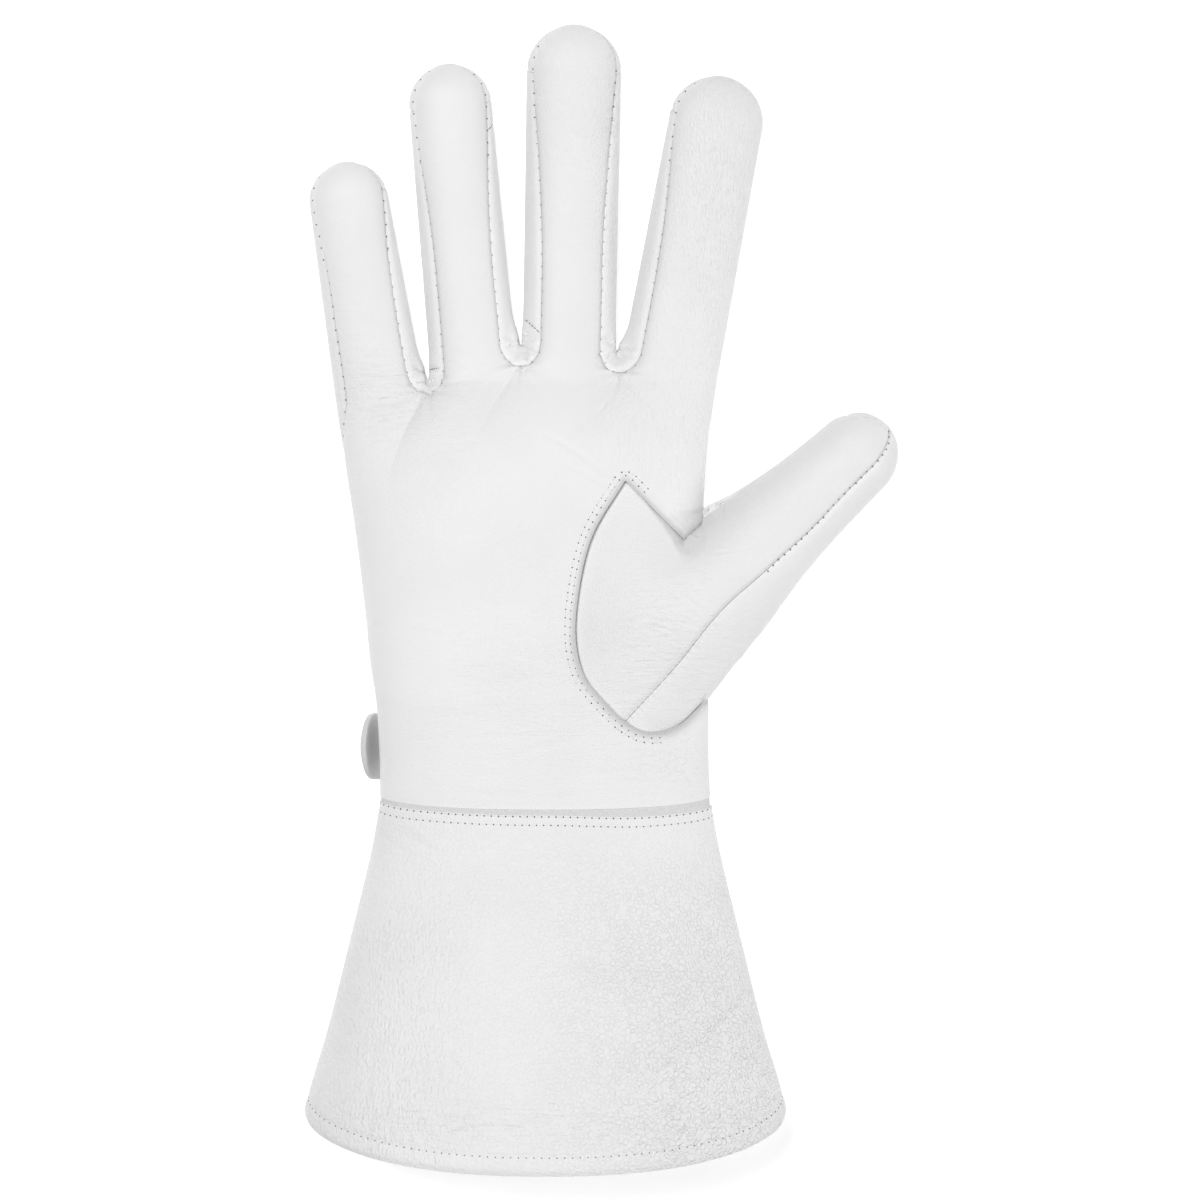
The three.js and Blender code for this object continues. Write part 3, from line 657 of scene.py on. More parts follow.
    def ring(self) -> list[tuple[Finger, Side]]:
        """Returns the sides whose columns run round the hand, in order."""
        palm = [(finger, Side.PALM) for finger in self.fingers]
        back = [(finger, Side.BACK) for finger in reversed(self.fingers)]
        return [*palm, (self.fingers[-1], Side.OUTER), *back, (self.fingers[0], Side.INNER)]


@dataclass
class ThumbShape:
    """The set-in thumb, whose axis runs in plan from behind its base seam to the tip."""

    body: BodyShape
    length: float = 118.5
    tip: tuple[float, float] = (103.4, 113.1)
    heading_angle: float = 41.2
    base_width: float = 54.0
    depth: float = 30.0
    height: float = 22.0
    tip_round: float = 13.0
    hole_floor: float = 8.5
    fade: float = 0.55
    front_seam: float = 60.0
    back_seam: float = 210.0
    apex_turn: float = 142.0
    tuck: float = 1.4
    tuck_depth: float = 0.55
    point_tuck: float = 0.1
    point_reach: tuple[float, float] = (2.8, 4.5)
    roll_height: float = 16.0
    roll_reach: float = 4.5
    roll_blend: float = 3.0
    side_fade: float = 0.5
    neck: float = 64.0
    side_sink: float = 0.6
    point_depth: float = 2.2
    run_out: float = 12.0
    tip_turn: float = -62.0
    sections: Table = Table(
        ("along", "across", "offset", "height", "depth", "seam"),
        (
            (0.0, 1.04, -0.02, 0.9, 0.8, 60.0),
            (0.2, 0.9, -0.05, 0.98, 0.94, 68.0),
            (0.4, 0.69, -0.055, 1.0, 1.0, 75.0),
            (0.57, 0.575, -0.02, 0.95, 0.93, 64.0),
            (0.7, 0.525, 0.0, 0.9, 0.85, 58.0),
            (0.85, 0.48, 0.01, 0.88, 0.76, 60.0),
            (1.0, 0.45, 0.02, 0.88, 0.74, 60.0),
        ),
    )
    base_seam: Table = Table(
        ("turn", "back", "across"),
        (
            (0.0, 0.786, 0.45),
            (18.0, 0.88, 0.468),
            (38.0, 0.958, 0.402),
            (60.0, 0.993, 0.254),
            (80.0, 1.0, -0.005),
            (98.0, 0.965, -0.223),
            (114.0, 0.878, -0.432),
            (128.0, 0.749, -0.636),
            (142.0, 0.593, -0.749),
        ),
    )
    notch: tuple[tuple[float, float, float], ...] = ((162.0, 0.58, -0.289), (180.0, 0.474, -0.292))

    def __post_init__(self) -> None:
        """Sets the thumb's own directions and the ends of its base seam."""
        angle = math.radians(self.heading_angle)
        self.heading = np.array([math.cos(angle), math.sin(angle)])
        self.outward = np.array([self.heading[1], -self.heading[0]])
        self.tip_place = np.array(self.tip)
        self.bottom, self.top = self.seam_plan(np.array([0.0, 180.0]))
        self.halfway = (self.bottom[1] + self.top[1]) / 2

    def seam_plan(self, turn: np.ndarray) -> np.ndarray:
        """Places points of the base seam in plan.

        Formula: a smooth curve through the table's rows up to the apex, then straight
        lines down into the notch and out of it again.

        Args:
            turn: Turns round the thumb, from 0 to 180.

        Returns:
            Points, with x and y on the last axis.
        """
        turn = np.asarray(turn, float)
        apex = self.base_seam.rows[-1]
        turns = [apex[0], *(row[0] for row in self.notch)]
        values = []
        for name, i in (("back", 1), ("across", 2)):
            straight = np.interp(turn, turns, [apex[i], *(row[i] for row in self.notch)])
            curve = self.base_seam.read(name, turn)
            values.append(np.where(turn > self.apex_turn, straight, curve))
        back, across = values[0] * self.length, values[1] * self.base_width
        return self.tip_place - back[..., None] * self.heading + across[..., None] * self.outward

    def outline(self, last_turn: float = 180.0) -> np.ndarray:
        """Draws the base seam in plan.

        Args:
            last_turn: Turn round the thumb where the line ends.

        Returns:
            Points from beyond the seam's lower end up to that turn.
        """
        point, end = (row[0] for row in self.notch)
        turns = np.concatenate((
            np.linspace(0, self.apex_turn, 220),
            np.linspace(self.apex_turn, point, 24)[1:],
            np.linspace(point, end, 24)[1:],
        ))
        line = self.seam_plan(turns[turns <= last_turn])
        return np.concatenate((line[:1] + unit(line[:1] - line[1:2]) * self.run_out, line))

    def tube(self, turn: np.ndarray, s: np.ndarray) -> np.ndarray:
        """Places points on the thumb as a plain tube.

        Formula: an ellipse carried along the axis, turned a little so that the long seam
        keeps to its own line, and rounded off over the tip as a quarter circle.

        Args:
            turn: Turns round the section in degrees.
            s: Distances along the axis.

        Returns:
            Points, with x, y and z on the last axis.
        """
        turn, s = np.broadcast_arrays(np.asarray(turn, float), np.asarray(s, float))
        along = np.clip(s / self.length, 0, 1)
        past = np.clip((s - self.length + self.tip_round) / self.tip_round, 0, 1)
        tip = np.sqrt(1 - past**2)
        bend = self.sections.read("seam", along) - self.front_seam
        around = np.mod(turn, 360)
        between = np.clip((self.back_seam - around) / (self.back_seam - self.front_seam), 0, 1)
        near = np.where(around < self.front_seam, around / self.front_seam, between)
        below = np.clip((360 - around) / (360 - self.back_seam), 0, 1)
        near_back = np.where(around < self.back_seam, 1 - between, below)
        near_back = np.where(around < self.front_seam, 0.0, near_back)
        bend_back = self.tip_turn * smoothstep(along, 0.9, 0.975)
        place = np.radians(turn + bend * near + bend_back * near_back)
        width = 0.5 * self.sections.read("across", along) * tip * np.cos(place)
        across = self.base_width * (width - self.sections.read("offset", along))
        axis = self.tip_place + (s - self.length)[..., None] * self.heading
        plan = axis + across[..., None] * self.outward
        rise = 0.5 * self.depth * self.sections.read("depth", along) * tip * np.sin(place)
        z = self.height * self.sections.read("height", along) + rise
        return np.concatenate((plan, z[..., None]), axis=-1)

    def root(self, turn: np.ndarray) -> np.ndarray:
        """Places points of the thumb's base, tucked under the edge of the palm.

        Formula: in front, the base seam grown outwards by the tuck, which shrinks towards
        the notch's point, and sunk below the palm; underneath, a curve down the side of
        the hand and up.

        Args:
            turn: Turns round the thumb in degrees.

        Returns:
            Points, with x, y and z on the last axis.
        """
        turn = np.mod(turn, 360.0)
        front = turn <= 180
        on_seam = np.where(front, turn, 0.0)
        plan = self.seam_plan(on_seam)
        step = 0.5
        ahead = self.seam_plan(np.clip(on_seam + step, 0, 180))
        behind = self.seam_plan(np.clip(on_seam - step, 0, 180))
        along = unit(ahead - behind)
        outside = np.stack((-along[..., 1], along[..., 0]), axis=-1)
        between = smoothstep(turn, 0, 25) * (1 - smoothstep(turn, 180, 188))
        point = self.notch[0][0]
        before, after = self.point_reach
        from_point = np.where(turn < point, (point - turn) / before, (turn - point) / after)
        tuck = self.tuck * between * lerp(self.point_tuck, 1.0, smoothstep(from_point, 0.0, 1.0))
        plan = plan + outside * tuck[..., None]
        centre, half_width, _, _ = self.body.section(plan[..., 1])
        plan[..., 0] = np.minimum(plan[..., 0], centre + half_width - self.side_sink)
        under = smoothstep(turn, point, point + 1.5) * (1 - smoothstep(turn, 174, 180))
        hidden = self.tuck_depth * between + tuck + self.point_depth * under
        upper = np.concatenate((plan, (self.body.palm_height(plan) - hidden)[..., None]), axis=-1)
        share = np.clip((turn - 180) / 180, 0, 1)
        y = lerp(self.top[1], self.bottom[1], share)
        centre, half_width, half_depth, middle = self.body.section(y)
        z = lerp(middle, self.hole_floor, np.sin(np.pi * share) ** 0.5)
        down = np.clip((middle - z) / half_depth, 0, 1)
        across = (1 - down**SIZES.hand_squareness) ** (1 / SIZES.hand_squareness)
        lower = np.stack((centre + half_width * across - self.side_sink, y, z), axis=-1)
        return np.where(front[..., None], upper, lower)

    def surface(self, turn: np.ndarray, share: np.ndarray) -> np.ndarray:
        """Places a grid of points on the thumb.

        Formula: the tube, drawn to the base with the square of the nearness to it. Beside
        the palm's tongue the columns reach the tube by the thumb's neck.

        Args:
            turn: Turns round the thumb, one for each column.
            share: Shares of the way from the base to the tip, one for each row.

        Returns:
            Points by column and row.
        """
        root = self.root(turn)
        start = self.length + (root[:, :2] - self.tip_place) @ self.heading
        s = lerp(start[:, None], self.length, share[None, :])
        missing = root - self.tube(turn, start)
        behind = self.length - start
        to_neck = np.clip((behind - self.neck) / behind, 0.06, self.fade)
        beside_tongue = smoothstep(turn, 92, 118) * (1 - smoothstep(turn, 168, 178))
        fade = lerp(self.fade, to_neck, beside_tongue)
        near = np.clip(share[None, :] / fade[:, None], 0, 1)
        return self.tube(turn[:, None], s) + ((1 - near) ** 2)[..., None] * missing[:, None, :]

    def inside(self, plan: np.ndarray, reach: float = 8.0) -> np.ndarray:
        """Finds how far places lie inside the base seam.

        Args:
            plan: Places, with x and y on the last axis.
            reach: Distance past which the answer doesn't matter.

        Returns:
            Distances from the seam, less than 0 outside it.
        """
        line = resample(self.outline(), 0.3)
        distance, _, index = nearest(plan, line, reach)
        along = unit(np.gradient(line, axis=0))[index]
        off = plan - line[index]
        side = along[:, 1] * off[:, 0] - along[:, 0] * off[:, 1]
        return np.where(side >= 0, distance, -distance)

    def seat(self, points: np.ndarray) -> np.ndarray:
        """Sinks the thumb's leather where it goes under the edge of the palm.

        Formula: a smooth lesser of the thumb's own height and a roll, which is below the
        palm's leather outside the base seam and climbs towards the thumb inside it. It
        fades out past the hand's side, except close inside the seam's upper half. Where
        it fades in the lower half, the leather moves in a little instead.

        Args:
            points: Points of the thumb's skin.

        Returns:
            The new points.
        """
        plan = points[:, :2]
        depth = self.inside(plan)
        centre, half_width, _, middle = self.body.section(plan[:, 1])
        to_side = half_width - np.abs(plan[:, 0] - centre)
        high = plan[:, 1] > self.halfway
        within = smoothstep(depth, -0.2, 0.8) * smoothstep(to_side, -1.0, 0.5)
        narrow, wide = smoothstep(to_side, 0.0, self.side_fade), smoothstep(to_side, 0.0, 3.0)
        on_palm = np.where(high, np.maximum(narrow, within), np.minimum(narrow, wide))
        above = smoothstep(points[:, 2] - middle, -1.0, 3.0)
        climb = self.roll_height * (1 - np.exp(-np.maximum(depth, 0) / self.roll_reach))
        point_x = self.seam_plan(np.array([self.notch[0][0]]))[0, 0]
        level = np.column_stack((np.minimum(plan[:, 0], point_x + 1.0), plan[:, 1]))
        beside, below = self.body.palm_height(plan), self.body.palm_height(level)
        palm = lerp(beside, below, smoothstep(depth, 0.0, 1.6))
        roll = palm - self.tuck_depth - np.clip(-depth, 0, 2) + climb
        blend = self.roll_blend
        z = -np.logaddexp(-blend * points[:, 2], -blend * roll) / blend
        z = lerp(points[:, 2], z, on_palm * above * (1 - smoothstep(depth, 3.0, 7.5)))
        drop = self.tuck_depth * bell(np.maximum(depth - 0.2, 0), 1.2) * above
        x = plan[:, 0] - drop * (1 - on_palm) * ~high
        return np.column_stack((x, plan[:, 1], z))


# Meshes


@dataclass
class Skin:
    """A welded surface of triangles, each of which belongs to a panel of leather."""

    blocks: list[tuple[np.ndarray, np.ndarray]] = field(default_factory=list)
    points: np.ndarray = field(default_factory=lambda: np.zeros((0, 3)))
    triangles: np.ndarray = field(default_factory=lambda: np.zeros((0, 3), int))
    panels: np.ndarray = field(default_factory=lambda: np.zeros(0, int))

    def patch(self, grid: np.ndarray, panel: np.ndarray) -> None:
        """Adds a grid of points.

        Args:
            grid: Points by column and row.
            panel: Panel number of each cell, or one for all.
        """
        cells = (grid.shape[0] - 1, grid.shape[1] - 1)
        self.blocks.append((grid, np.broadcast_to(np.asarray(panel), cells)))

    def weld(self) -> "Skin":
        """Joins the patches where they meet and drops triangles with no area.

        Formula: each cell is cut along its shorter diagonal, and points that round to the
        same place are one.

        Returns:
            The skin itself.
        """
        points, triangles, panels, first = [], [], [], 0
        for grid, panel in self.blocks:
            columns, rows = grid.shape[:2]
            ids = first + np.arange(columns * rows).reshape(columns, rows)
            a, b, c, d = ids[:-1, :-1], ids[:-1, 1:], ids[1:, 1:], ids[1:, :-1]
            first_way = np.linalg.norm(grid[1:, 1:] - grid[:-1, :-1], axis=-1)
            other_way = np.linalg.norm(grid[1:, :-1] - grid[:-1, 1:], axis=-1)
            swap = (other_way < first_way)[..., None]
            one = np.where(swap, np.stack((a, b, d), -1), np.stack((a, b, c), -1))
            two = np.where(swap, np.stack((b, c, d), -1), np.stack((a, c, d), -1))
            triangles += [one.reshape(-1, 3), two.reshape(-1, 3)]
            panels += [panel.ravel(), panel.ravel()]
            points.append(grid.reshape(-1, 3))
            first += columns * rows
        stacked = np.concatenate(points)
        _, kept, joined = np.unique(np.round(stacked / WELD_MM).astype(np.int64), axis=0,
                                    return_index=True, return_inverse=True)
        corners = joined.reshape(-1)[np.concatenate(triangles)]
        whole = (corners != np.roll(corners, 1, axis=1)).all(1)
        self.points, self.triangles = stacked[kept], corners[whole]
        self.panels = np.concatenate(panels)[whole]
        return self

    def normals(self) -> np.ndarray:
        """Finds each point's outward direction.

        Formula: the sum of its triangles' directions, weighted by area.

        Returns:
            Directions of length 1.
        """
        a, b, c = (self.points[self.triangles[:, i]] for i in range(3))
        area = np.cross(b - a, c - a)
        total = np.zeros_like(self.points)
        for axis in range(3):
            weights = np.repeat(area[:, axis], 3)
            total[:, axis] = np.bincount(self.triangles.ravel(), weights, len(self.points))
        return unit(total)

    def wall(self, panel: int, normals: np.ndarray, thickness: np.ndarray,
             draw: float) -> tuple[np.ndarray, np.ndarray]:
        """Makes one panel a wall of leather.

        Formula: the panel's triangles, drawn back from its edges, the same triangles
        facing in at the leather's thickness below, and a rim between them.

        Args:
            panel: The panel's number.
            normals: Outward directions of all the skin's points.
            thickness: Thickness of the leather at each of the skin's points.
            draw: How far the edges are drawn back.

        Returns:
            Points and triangles.
        """
        triangles = self.triangles[self.panels == panel]
        used, local = np.unique(triangles, return_inverse=True)
        triangles = local.reshape(-1, 3)
        edges = np.concatenate((triangles[:, [0, 1]], triangles[:, [1, 2]], triangles[:, [2, 0]]))
        code = edges[:, 0] * len(used) + edges[:, 1]
        back = edges[:, 1] * len(used) + edges[:, 0]
        rim = edges[~np.isin(code, back)]
        outside, out = self.points[used].copy(), normals[used]
        pull = np.zeros_like(outside)
        along = unit(outside[rim[:, 1]] - outside[rim[:, 0]])
        for end in (0, 1):
            np.add.at(pull, rim[:, end], np.cross(out[rim[:, end]], along))
        outside += unit(pull) * draw * (np.linalg.norm(pull, axis=1, keepdims=True) > 0)
        inside = outside - out * thickness[used][:, None]
        n = len(used)
        a, b = rim[:, 0], rim[:, 1]
        faces = np.concatenate((
            triangles,
            triangles[:, [0, 2, 1]] + n,
            np.stack((b, a, a + n), -1),
            np.stack((b, a + n, b + n), -1),
        ))
        return np.concatenate((outside, inside)), faces


def add_object(name: str, data: bpy.types.ID) -> bpy.types.Object:
    """Returns a new object of the scene, made of a mesh, a light or a camera."""
    made = bpy.data.objects.new(name, data)
    bpy.context.scene.collection.objects.link(made)
    return made


def place_mesh(name: str, points: np.ndarray, faces: np.ndarray,
               sharp: float = SHARP_EDGE) -> bpy.types.Object:
    """Makes a mesh object of triangles on the CAD frame.

    Args:
        name: Name of the piece.
        points: Points in millimetres, in the glove's own plan.
        faces: Triangles, as point numbers.
        sharp: Angle in degrees past which an edge isn't shaded smooth.

    Returns:
        The new object, linked to the scene.
    """
    mesh = bpy.data.meshes.new(name)
    mesh.vertices.add(len(points))
    mesh.vertices.foreach_set("co", ((points + FRAME_SHIFT) * METRES_PER_MM).astype(np.float32).ravel())
    mesh.loops.add(len(faces) * 3)
    mesh.loops.foreach_set("vertex_index", faces.astype(np.int32).ravel())
    mesh.polygons.add(len(faces))
    mesh.polygons.foreach_set("loop_start", np.arange(0, len(faces) * 3, 3, dtype=np.int32))
    mesh.update(calc_edges=True)
    mesh.validate()
    mesh.shade_smooth()
    mesh.set_sharp_from_angle(angle=math.radians(sharp))
    return add_object(name, mesh)


def paint(piece: bpy.types.Object, **strengths: Numbers) -> None:
    """Stores how strong each texture is on a piece, for its material to read.

    Args:
        piece: The piece.
        strengths: One number for each point, or one for all, by the attribute's name.
    """
    count = len(piece.data.vertices)
    for name, strength in strengths.items():
        layer = piece.data.attributes.new(name, "FLOAT", "POINT")
        values = np.array(np.broadcast_to(strength, count), np.float32)
        layer.data.foreach_set("value", values)


def mesh_points(piece: bpy.types.Object) -> np.ndarray:
    """Reads the points of a piece.

    Args:
        piece: The piece.

    Returns:
        Points in millimetres, in the glove's own plan.
    """
    flat = np.zeros(len(piece.data.vertices) * 3, np.float32)
    piece.data.vertices.foreach_get("co", flat)
    return flat.reshape(-1, 3).astype(float) / METRES_PER_MM - FRAME_SHIFT


def dress(piece: bpy.types.Object, material: bpy.types.Material, slot: str,
          *nodes: str) -> None:
    """Gives a piece its material, its place on the frame and the CAD nodes it stands for.

    Args:
        piece: The piece.
        material: Its material.
        slot: Material slot of the part that the finish belongs to; not used.
        nodes: CAD nodes that the piece replaces, if any.
    """
    piece.data.materials.clear()
    piece.data.materials.append(material)
    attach(piece, "root")
    if nodes:
        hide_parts(*nodes)
    LOG.info("%s: %d triangles", piece.name, len(piece.data.polygons))


def nearest(points: np.ndarray, line: np.ndarray, reach: float) -> tuple[np.ndarray, ...]:
    """Finds how far points are from a line, and where on it they are nearest.

    Args:
        points: Points to measure.
        line: Close points along the line.
        reach: Distance past which the answer doesn't matter.

    Returns:
        Distances, no more than reach, distances along the line, and the line's numbers.
    """
    along = run_along(line)
    distance = np.full(len(points), float(reach))
    index = np.zeros(len(points), int)
    low, high = line.min(0) - reach, line.max(0) + reach
    inside = np.flatnonzero(((points > low) & (points < high)).all(1))
    for part in np.array_split(inside, max(1, len(inside) // 3000)):
        gaps = np.linalg.norm(points[part][:, None, :] - line[None, :, :], axis=2)
        best = gaps.argmin(1)
        distance[part] = np.minimum(gaps[np.arange(len(part)), best], reach)
        index[part] = best
    return distance, along[index], index


def resample(line: np.ndarray, step: float, values: Optional[np.ndarray] = None) -> np.ndarray:
    """Reads a line at even steps.

    Args:
        line: Points along the line.
        step: Distance between two steps.
        values: Values at the line's points to read instead of the points.

    Returns:
        The points or values at the steps.
    """
    along = run_along(line)
    places = np.linspace(0, along[-1], max(2, int(round(along[-1] / step)) + 1))
    values = line if values is None else values
    return np.stack([np.interp(places, along, values[:, i]) for i in range(values.shape[1])], axis=-1)


# Creases


@dataclass(frozen=True)
class Crease:
    """A fold line in the leather, in plan."""

    x: float
    y: float
    angle: float
    length: float
    depth: float
    width: float
    bend: float = 0.0

    def height(self, plan: np.ndarray) -> np.ndarray:
        """Finds how far the crease moves the leather.

        Formula: a bell-shaped dip across a bowed line with a lower ridge on each side,
        fading out towards both ends.

        Args:
            plan: Places, with x and y on the last axis.

        Returns:
            Heights in millimetres.
        """
        turn = math.radians(self.angle)
        dx, dy = plan[:, 0] - self.x, plan[:, 1] - self.y
        u = (dx * math.cos(turn) + dy * math.sin(turn)) / self.length
        v = -dx * math.sin(turn) + dy * math.cos(turn)
        v = v - self.bend * (1 - (2 * u - 1) ** 2)
        fade = np.clip(1 - (2 * u - 1) ** 2, 0, 1) ** 0.7
        ridge = bell(np.abs(v) - 1.9 * self.width, self.width)
        return self.depth * fade * (0.42 * ridge - bell(v, self.width))


@dataclass(frozen=True)
class CreaseField:
    """A group of like creases, spread at random over a stretch of leather."""

    seed: int
    count: int
    start: tuple[float, float]
    end: tuple[float, float]
    scatter: float
    angle: float
    fan: float
    length: tuple[float, float]
    depth: float
    width: float

    def creases(self) -> list[Crease]:
        """Draws the group's creases.

        Formula: their middles lie along the line from start to end, moved by the scatter,
        and their angles go from angle - fan to angle + fan in step with it.

        Returns:
            The creases.
        """
        rng = np.random.default_rng(self.seed)
        found = []
        for share in (np.arange(self.count) + rng.uniform(0.2, 0.8, self.count)) / self.count:
            length = rng.uniform(*self.length)
            angle = self.angle + self.fan * (2 * share - 1) + rng.normal(0, 3)
            x = lerp(self.start[0], self.end[0], share) + rng.normal(0, self.scatter)
            y = lerp(self.start[1], self.end[1], share) + rng.normal(0, self.scatter)
            half = length / 2
            found.append(Crease(
                x - half * math.cos(math.radians(angle)),
                y - half * math.sin(math.radians(angle)),
                angle, length, self.depth * rng.uniform(0.6, 1.1), self.width * rng.uniform(0.8, 1.2),
                rng.normal(0, 0.06) * length,
            ))
        return found


def crease_height(plan: np.ndarray, groups: tuple, singles: tuple[Crease, ...] = ()) -> np.ndarray:
    """Adds up creases.

    Args:
        plan: Places, with x and y on the last axis.
        groups: Groups of creases.
        singles: Creases on their own.

    Returns:
        Heights in millimetres.
    """
    total = np.zeros(len(plan))
    for crease in [*singles, *(crease for group in groups for crease in group.creases())]:
        total += crease.height(plan)
    return total


PALM_CREASES = (
    CreaseField(11, 15, (-44, 141), (-48, 112), 1.5, 183, 14, (12, 30), 0.13, 0.5),
    CreaseField(12, 9, (-24, 126), (-4, 131), 2.0, 255, 30, (8, 22), 0.09, 0.6),
    CreaseField(13, 14, (10, 121), (30, 116), 2.5, 250, 34, (14, 34), 0.09, 0.5),
    CreaseField(14, 16, (24, 106), (44, 112), 4.0, 95, 10, (12, 34), 0.08, 0.5),
    CreaseField(15, 14, (-18, 52), (2, 8), 8.0, 178, 10, (20, 52), 0.09, 0.9),
    CreaseField(16, 9, (36, 22), (22, 10), 4.0, 165, 25, (10, 26), 0.1, 0.8),
    CreaseField(17, 6, (-48, 60), (-44, 20), 3.0, 170, 20, (8, 18), 0.08, 0.7),
)
PALM_SINGLES = (
    Crease(36, 19.5, -60, 16, 0.26, 0.7, 0.5),
    Crease(33, 14, -48, 14, 0.18, 0.7, 0.4),
    Crease(41, 20.5, -63, 15, 0.22, 0.7, 0.4),
    Crease(-3, 112.5, -33, 30, 0.15, 0.8, 1.2),
    Crease(2, 104, -28, 22, 0.1, 0.8, 0.6),
    Crease(36, 86.3, 3, 15, 0.7, 1.0, 0.4),
    Crease(22.5, 130.5, 258, 30, 0.18, 0.6, -0.8),
    Crease(21, 130.5, 236, 38, 0.13, 0.6, 1.0),
    Crease(-34, 108, -40, 12, 0.2, 0.8, 0.5),
)
THUMB_CREASES = (
    CreaseField(31, 22, (36, 62), (24, 30), 2.5, -6, 14, (8, 20), 0.1, 0.42),
    CreaseField(32, 16, (46, 64), (33, 42), 2.5, -26, 12, (6, 14), 0.12, 0.42),
    CreaseField(33, 18, (60, 58), (37, 24), 2.5, 0, 16, (7, 15), 0.08, 0.42),
    CreaseField(34, 10, (66, 78), (96, 104), 3.0, -48, 14, (6, 13), 0.07, 0.6),
    CreaseField(35, 5, (48, 76), (56, 84), 2.0, -4, 6, (14, 24), 0.09, 0.5),
)
CUFF_CREASES = (
    CreaseField(51, 8, (62, -52), (30, -92), 5.0, 228, 10, (14, 34), 0.16, 1.2),
    CreaseField(52, 7, (-28, -92), (14, -97), 3.0, 2, 6, (16, 34), 0.14, 1.0),
    CreaseField(53, 6, (-46, -10), (-30, -20), 3.0, -24, 8, (14, 26), 0.16, 1.3),
    CreaseField(54, 6, (40, -14), (34, -26), 3.0, 200, 10, (14, 28), 0.15, 1.3),
    CreaseField(55, 5, (-52, -60), (-56, -88), 3.0, 74, 8, (16, 30), 0.12, 1.2),
)
CUFF_SINGLES = (
    Crease(64, -50, 228, 34, 0.8, 1.8, 2.0),
    Crease(44, -76, 214, 30, 0.6, 1.7, 1.5),
    Crease(2, -44, -20, 26, 0.18, 1.8, 1.0),
)
# Short seams across the gaps' sides, as the two ends of each in plan
FOURCHETTE_JOINS = (
    ((-5.9, 145.5), (-2.0, 141.9)), ((-34.7, 130.8), (-32.0, 131.1)), ((-17.3, 202.5), (-15.5, 204.3)),
)


# Finishes


@dataclass
class FinishNodes:
    """The nodes of one material, each added, set and linked in one call."""

    name: str

    def __post_init__(self) -> None:
        """Starts a material with nodes."""
        self.made = bpy.data.materials.new(self.name)
        self.made.use_nodes = True
        self.tree = self.made.node_tree

    @cached_property
    def place(self) -> bpy.types.NodeSocket:
        """Place on the object, which the textures follow."""
        return self.add("TexCoord", "Object")

    def add(self, kind: str, output: str, inputs: Optional[dict] = None,
            **settings: str) -> bpy.types.NodeSocket:
        """Adds a node.

        Args:
            kind: The node's type, without ShaderNode in front.
            output: Name of the output that is needed.
            inputs: Values, or outputs of other nodes, by the input's name or number.
            settings: The node's own settings.

        Returns:
            The output.
        """
        node = self.tree.nodes.new(f"ShaderNode{kind}")
        for setting, value in settings.items():
            setattr(node, setting, value)
        self._feed(node, inputs or {})
        return node.outputs[output]

    def ramp(self, factor: bpy.types.NodeSocket, *stops: tuple[float, tuple]) -> bpy.types.NodeSocket:
        """Adds a ramp between two colours.

        Args:
            factor: Output that the ramp reads.
            stops: Place and colour of each end.

        Returns:
            The colour.
        """
        node = self.tree.nodes.new("ShaderNodeValToRGB")
        for element, (position, colour) in zip(node.color_ramp.elements, stops):
            element.position, element.color = position, (*colour, 1)
        self._feed(node, {"Fac": factor})
        return node.outputs["Color"]

    def finish(self, inputs: dict) -> bpy.types.Material:
        """Sets the shader's own inputs and returns the material."""
        self._feed(self.tree.nodes["Principled BSDF"], inputs)
        return self.made

    def _feed(self, node: bpy.types.Node, inputs: dict) -> None:
        """Sets a node's inputs.

        Args:
            node: The node.
            inputs: Values, or outputs of other nodes, by the input's name or number.
        """
        for key, value in inputs.items():
            if isinstance(value, bpy.types.NodeSocket):
                self.tree.links.new(value, node.inputs[key])
            else:
                node.inputs[key].default_value = value


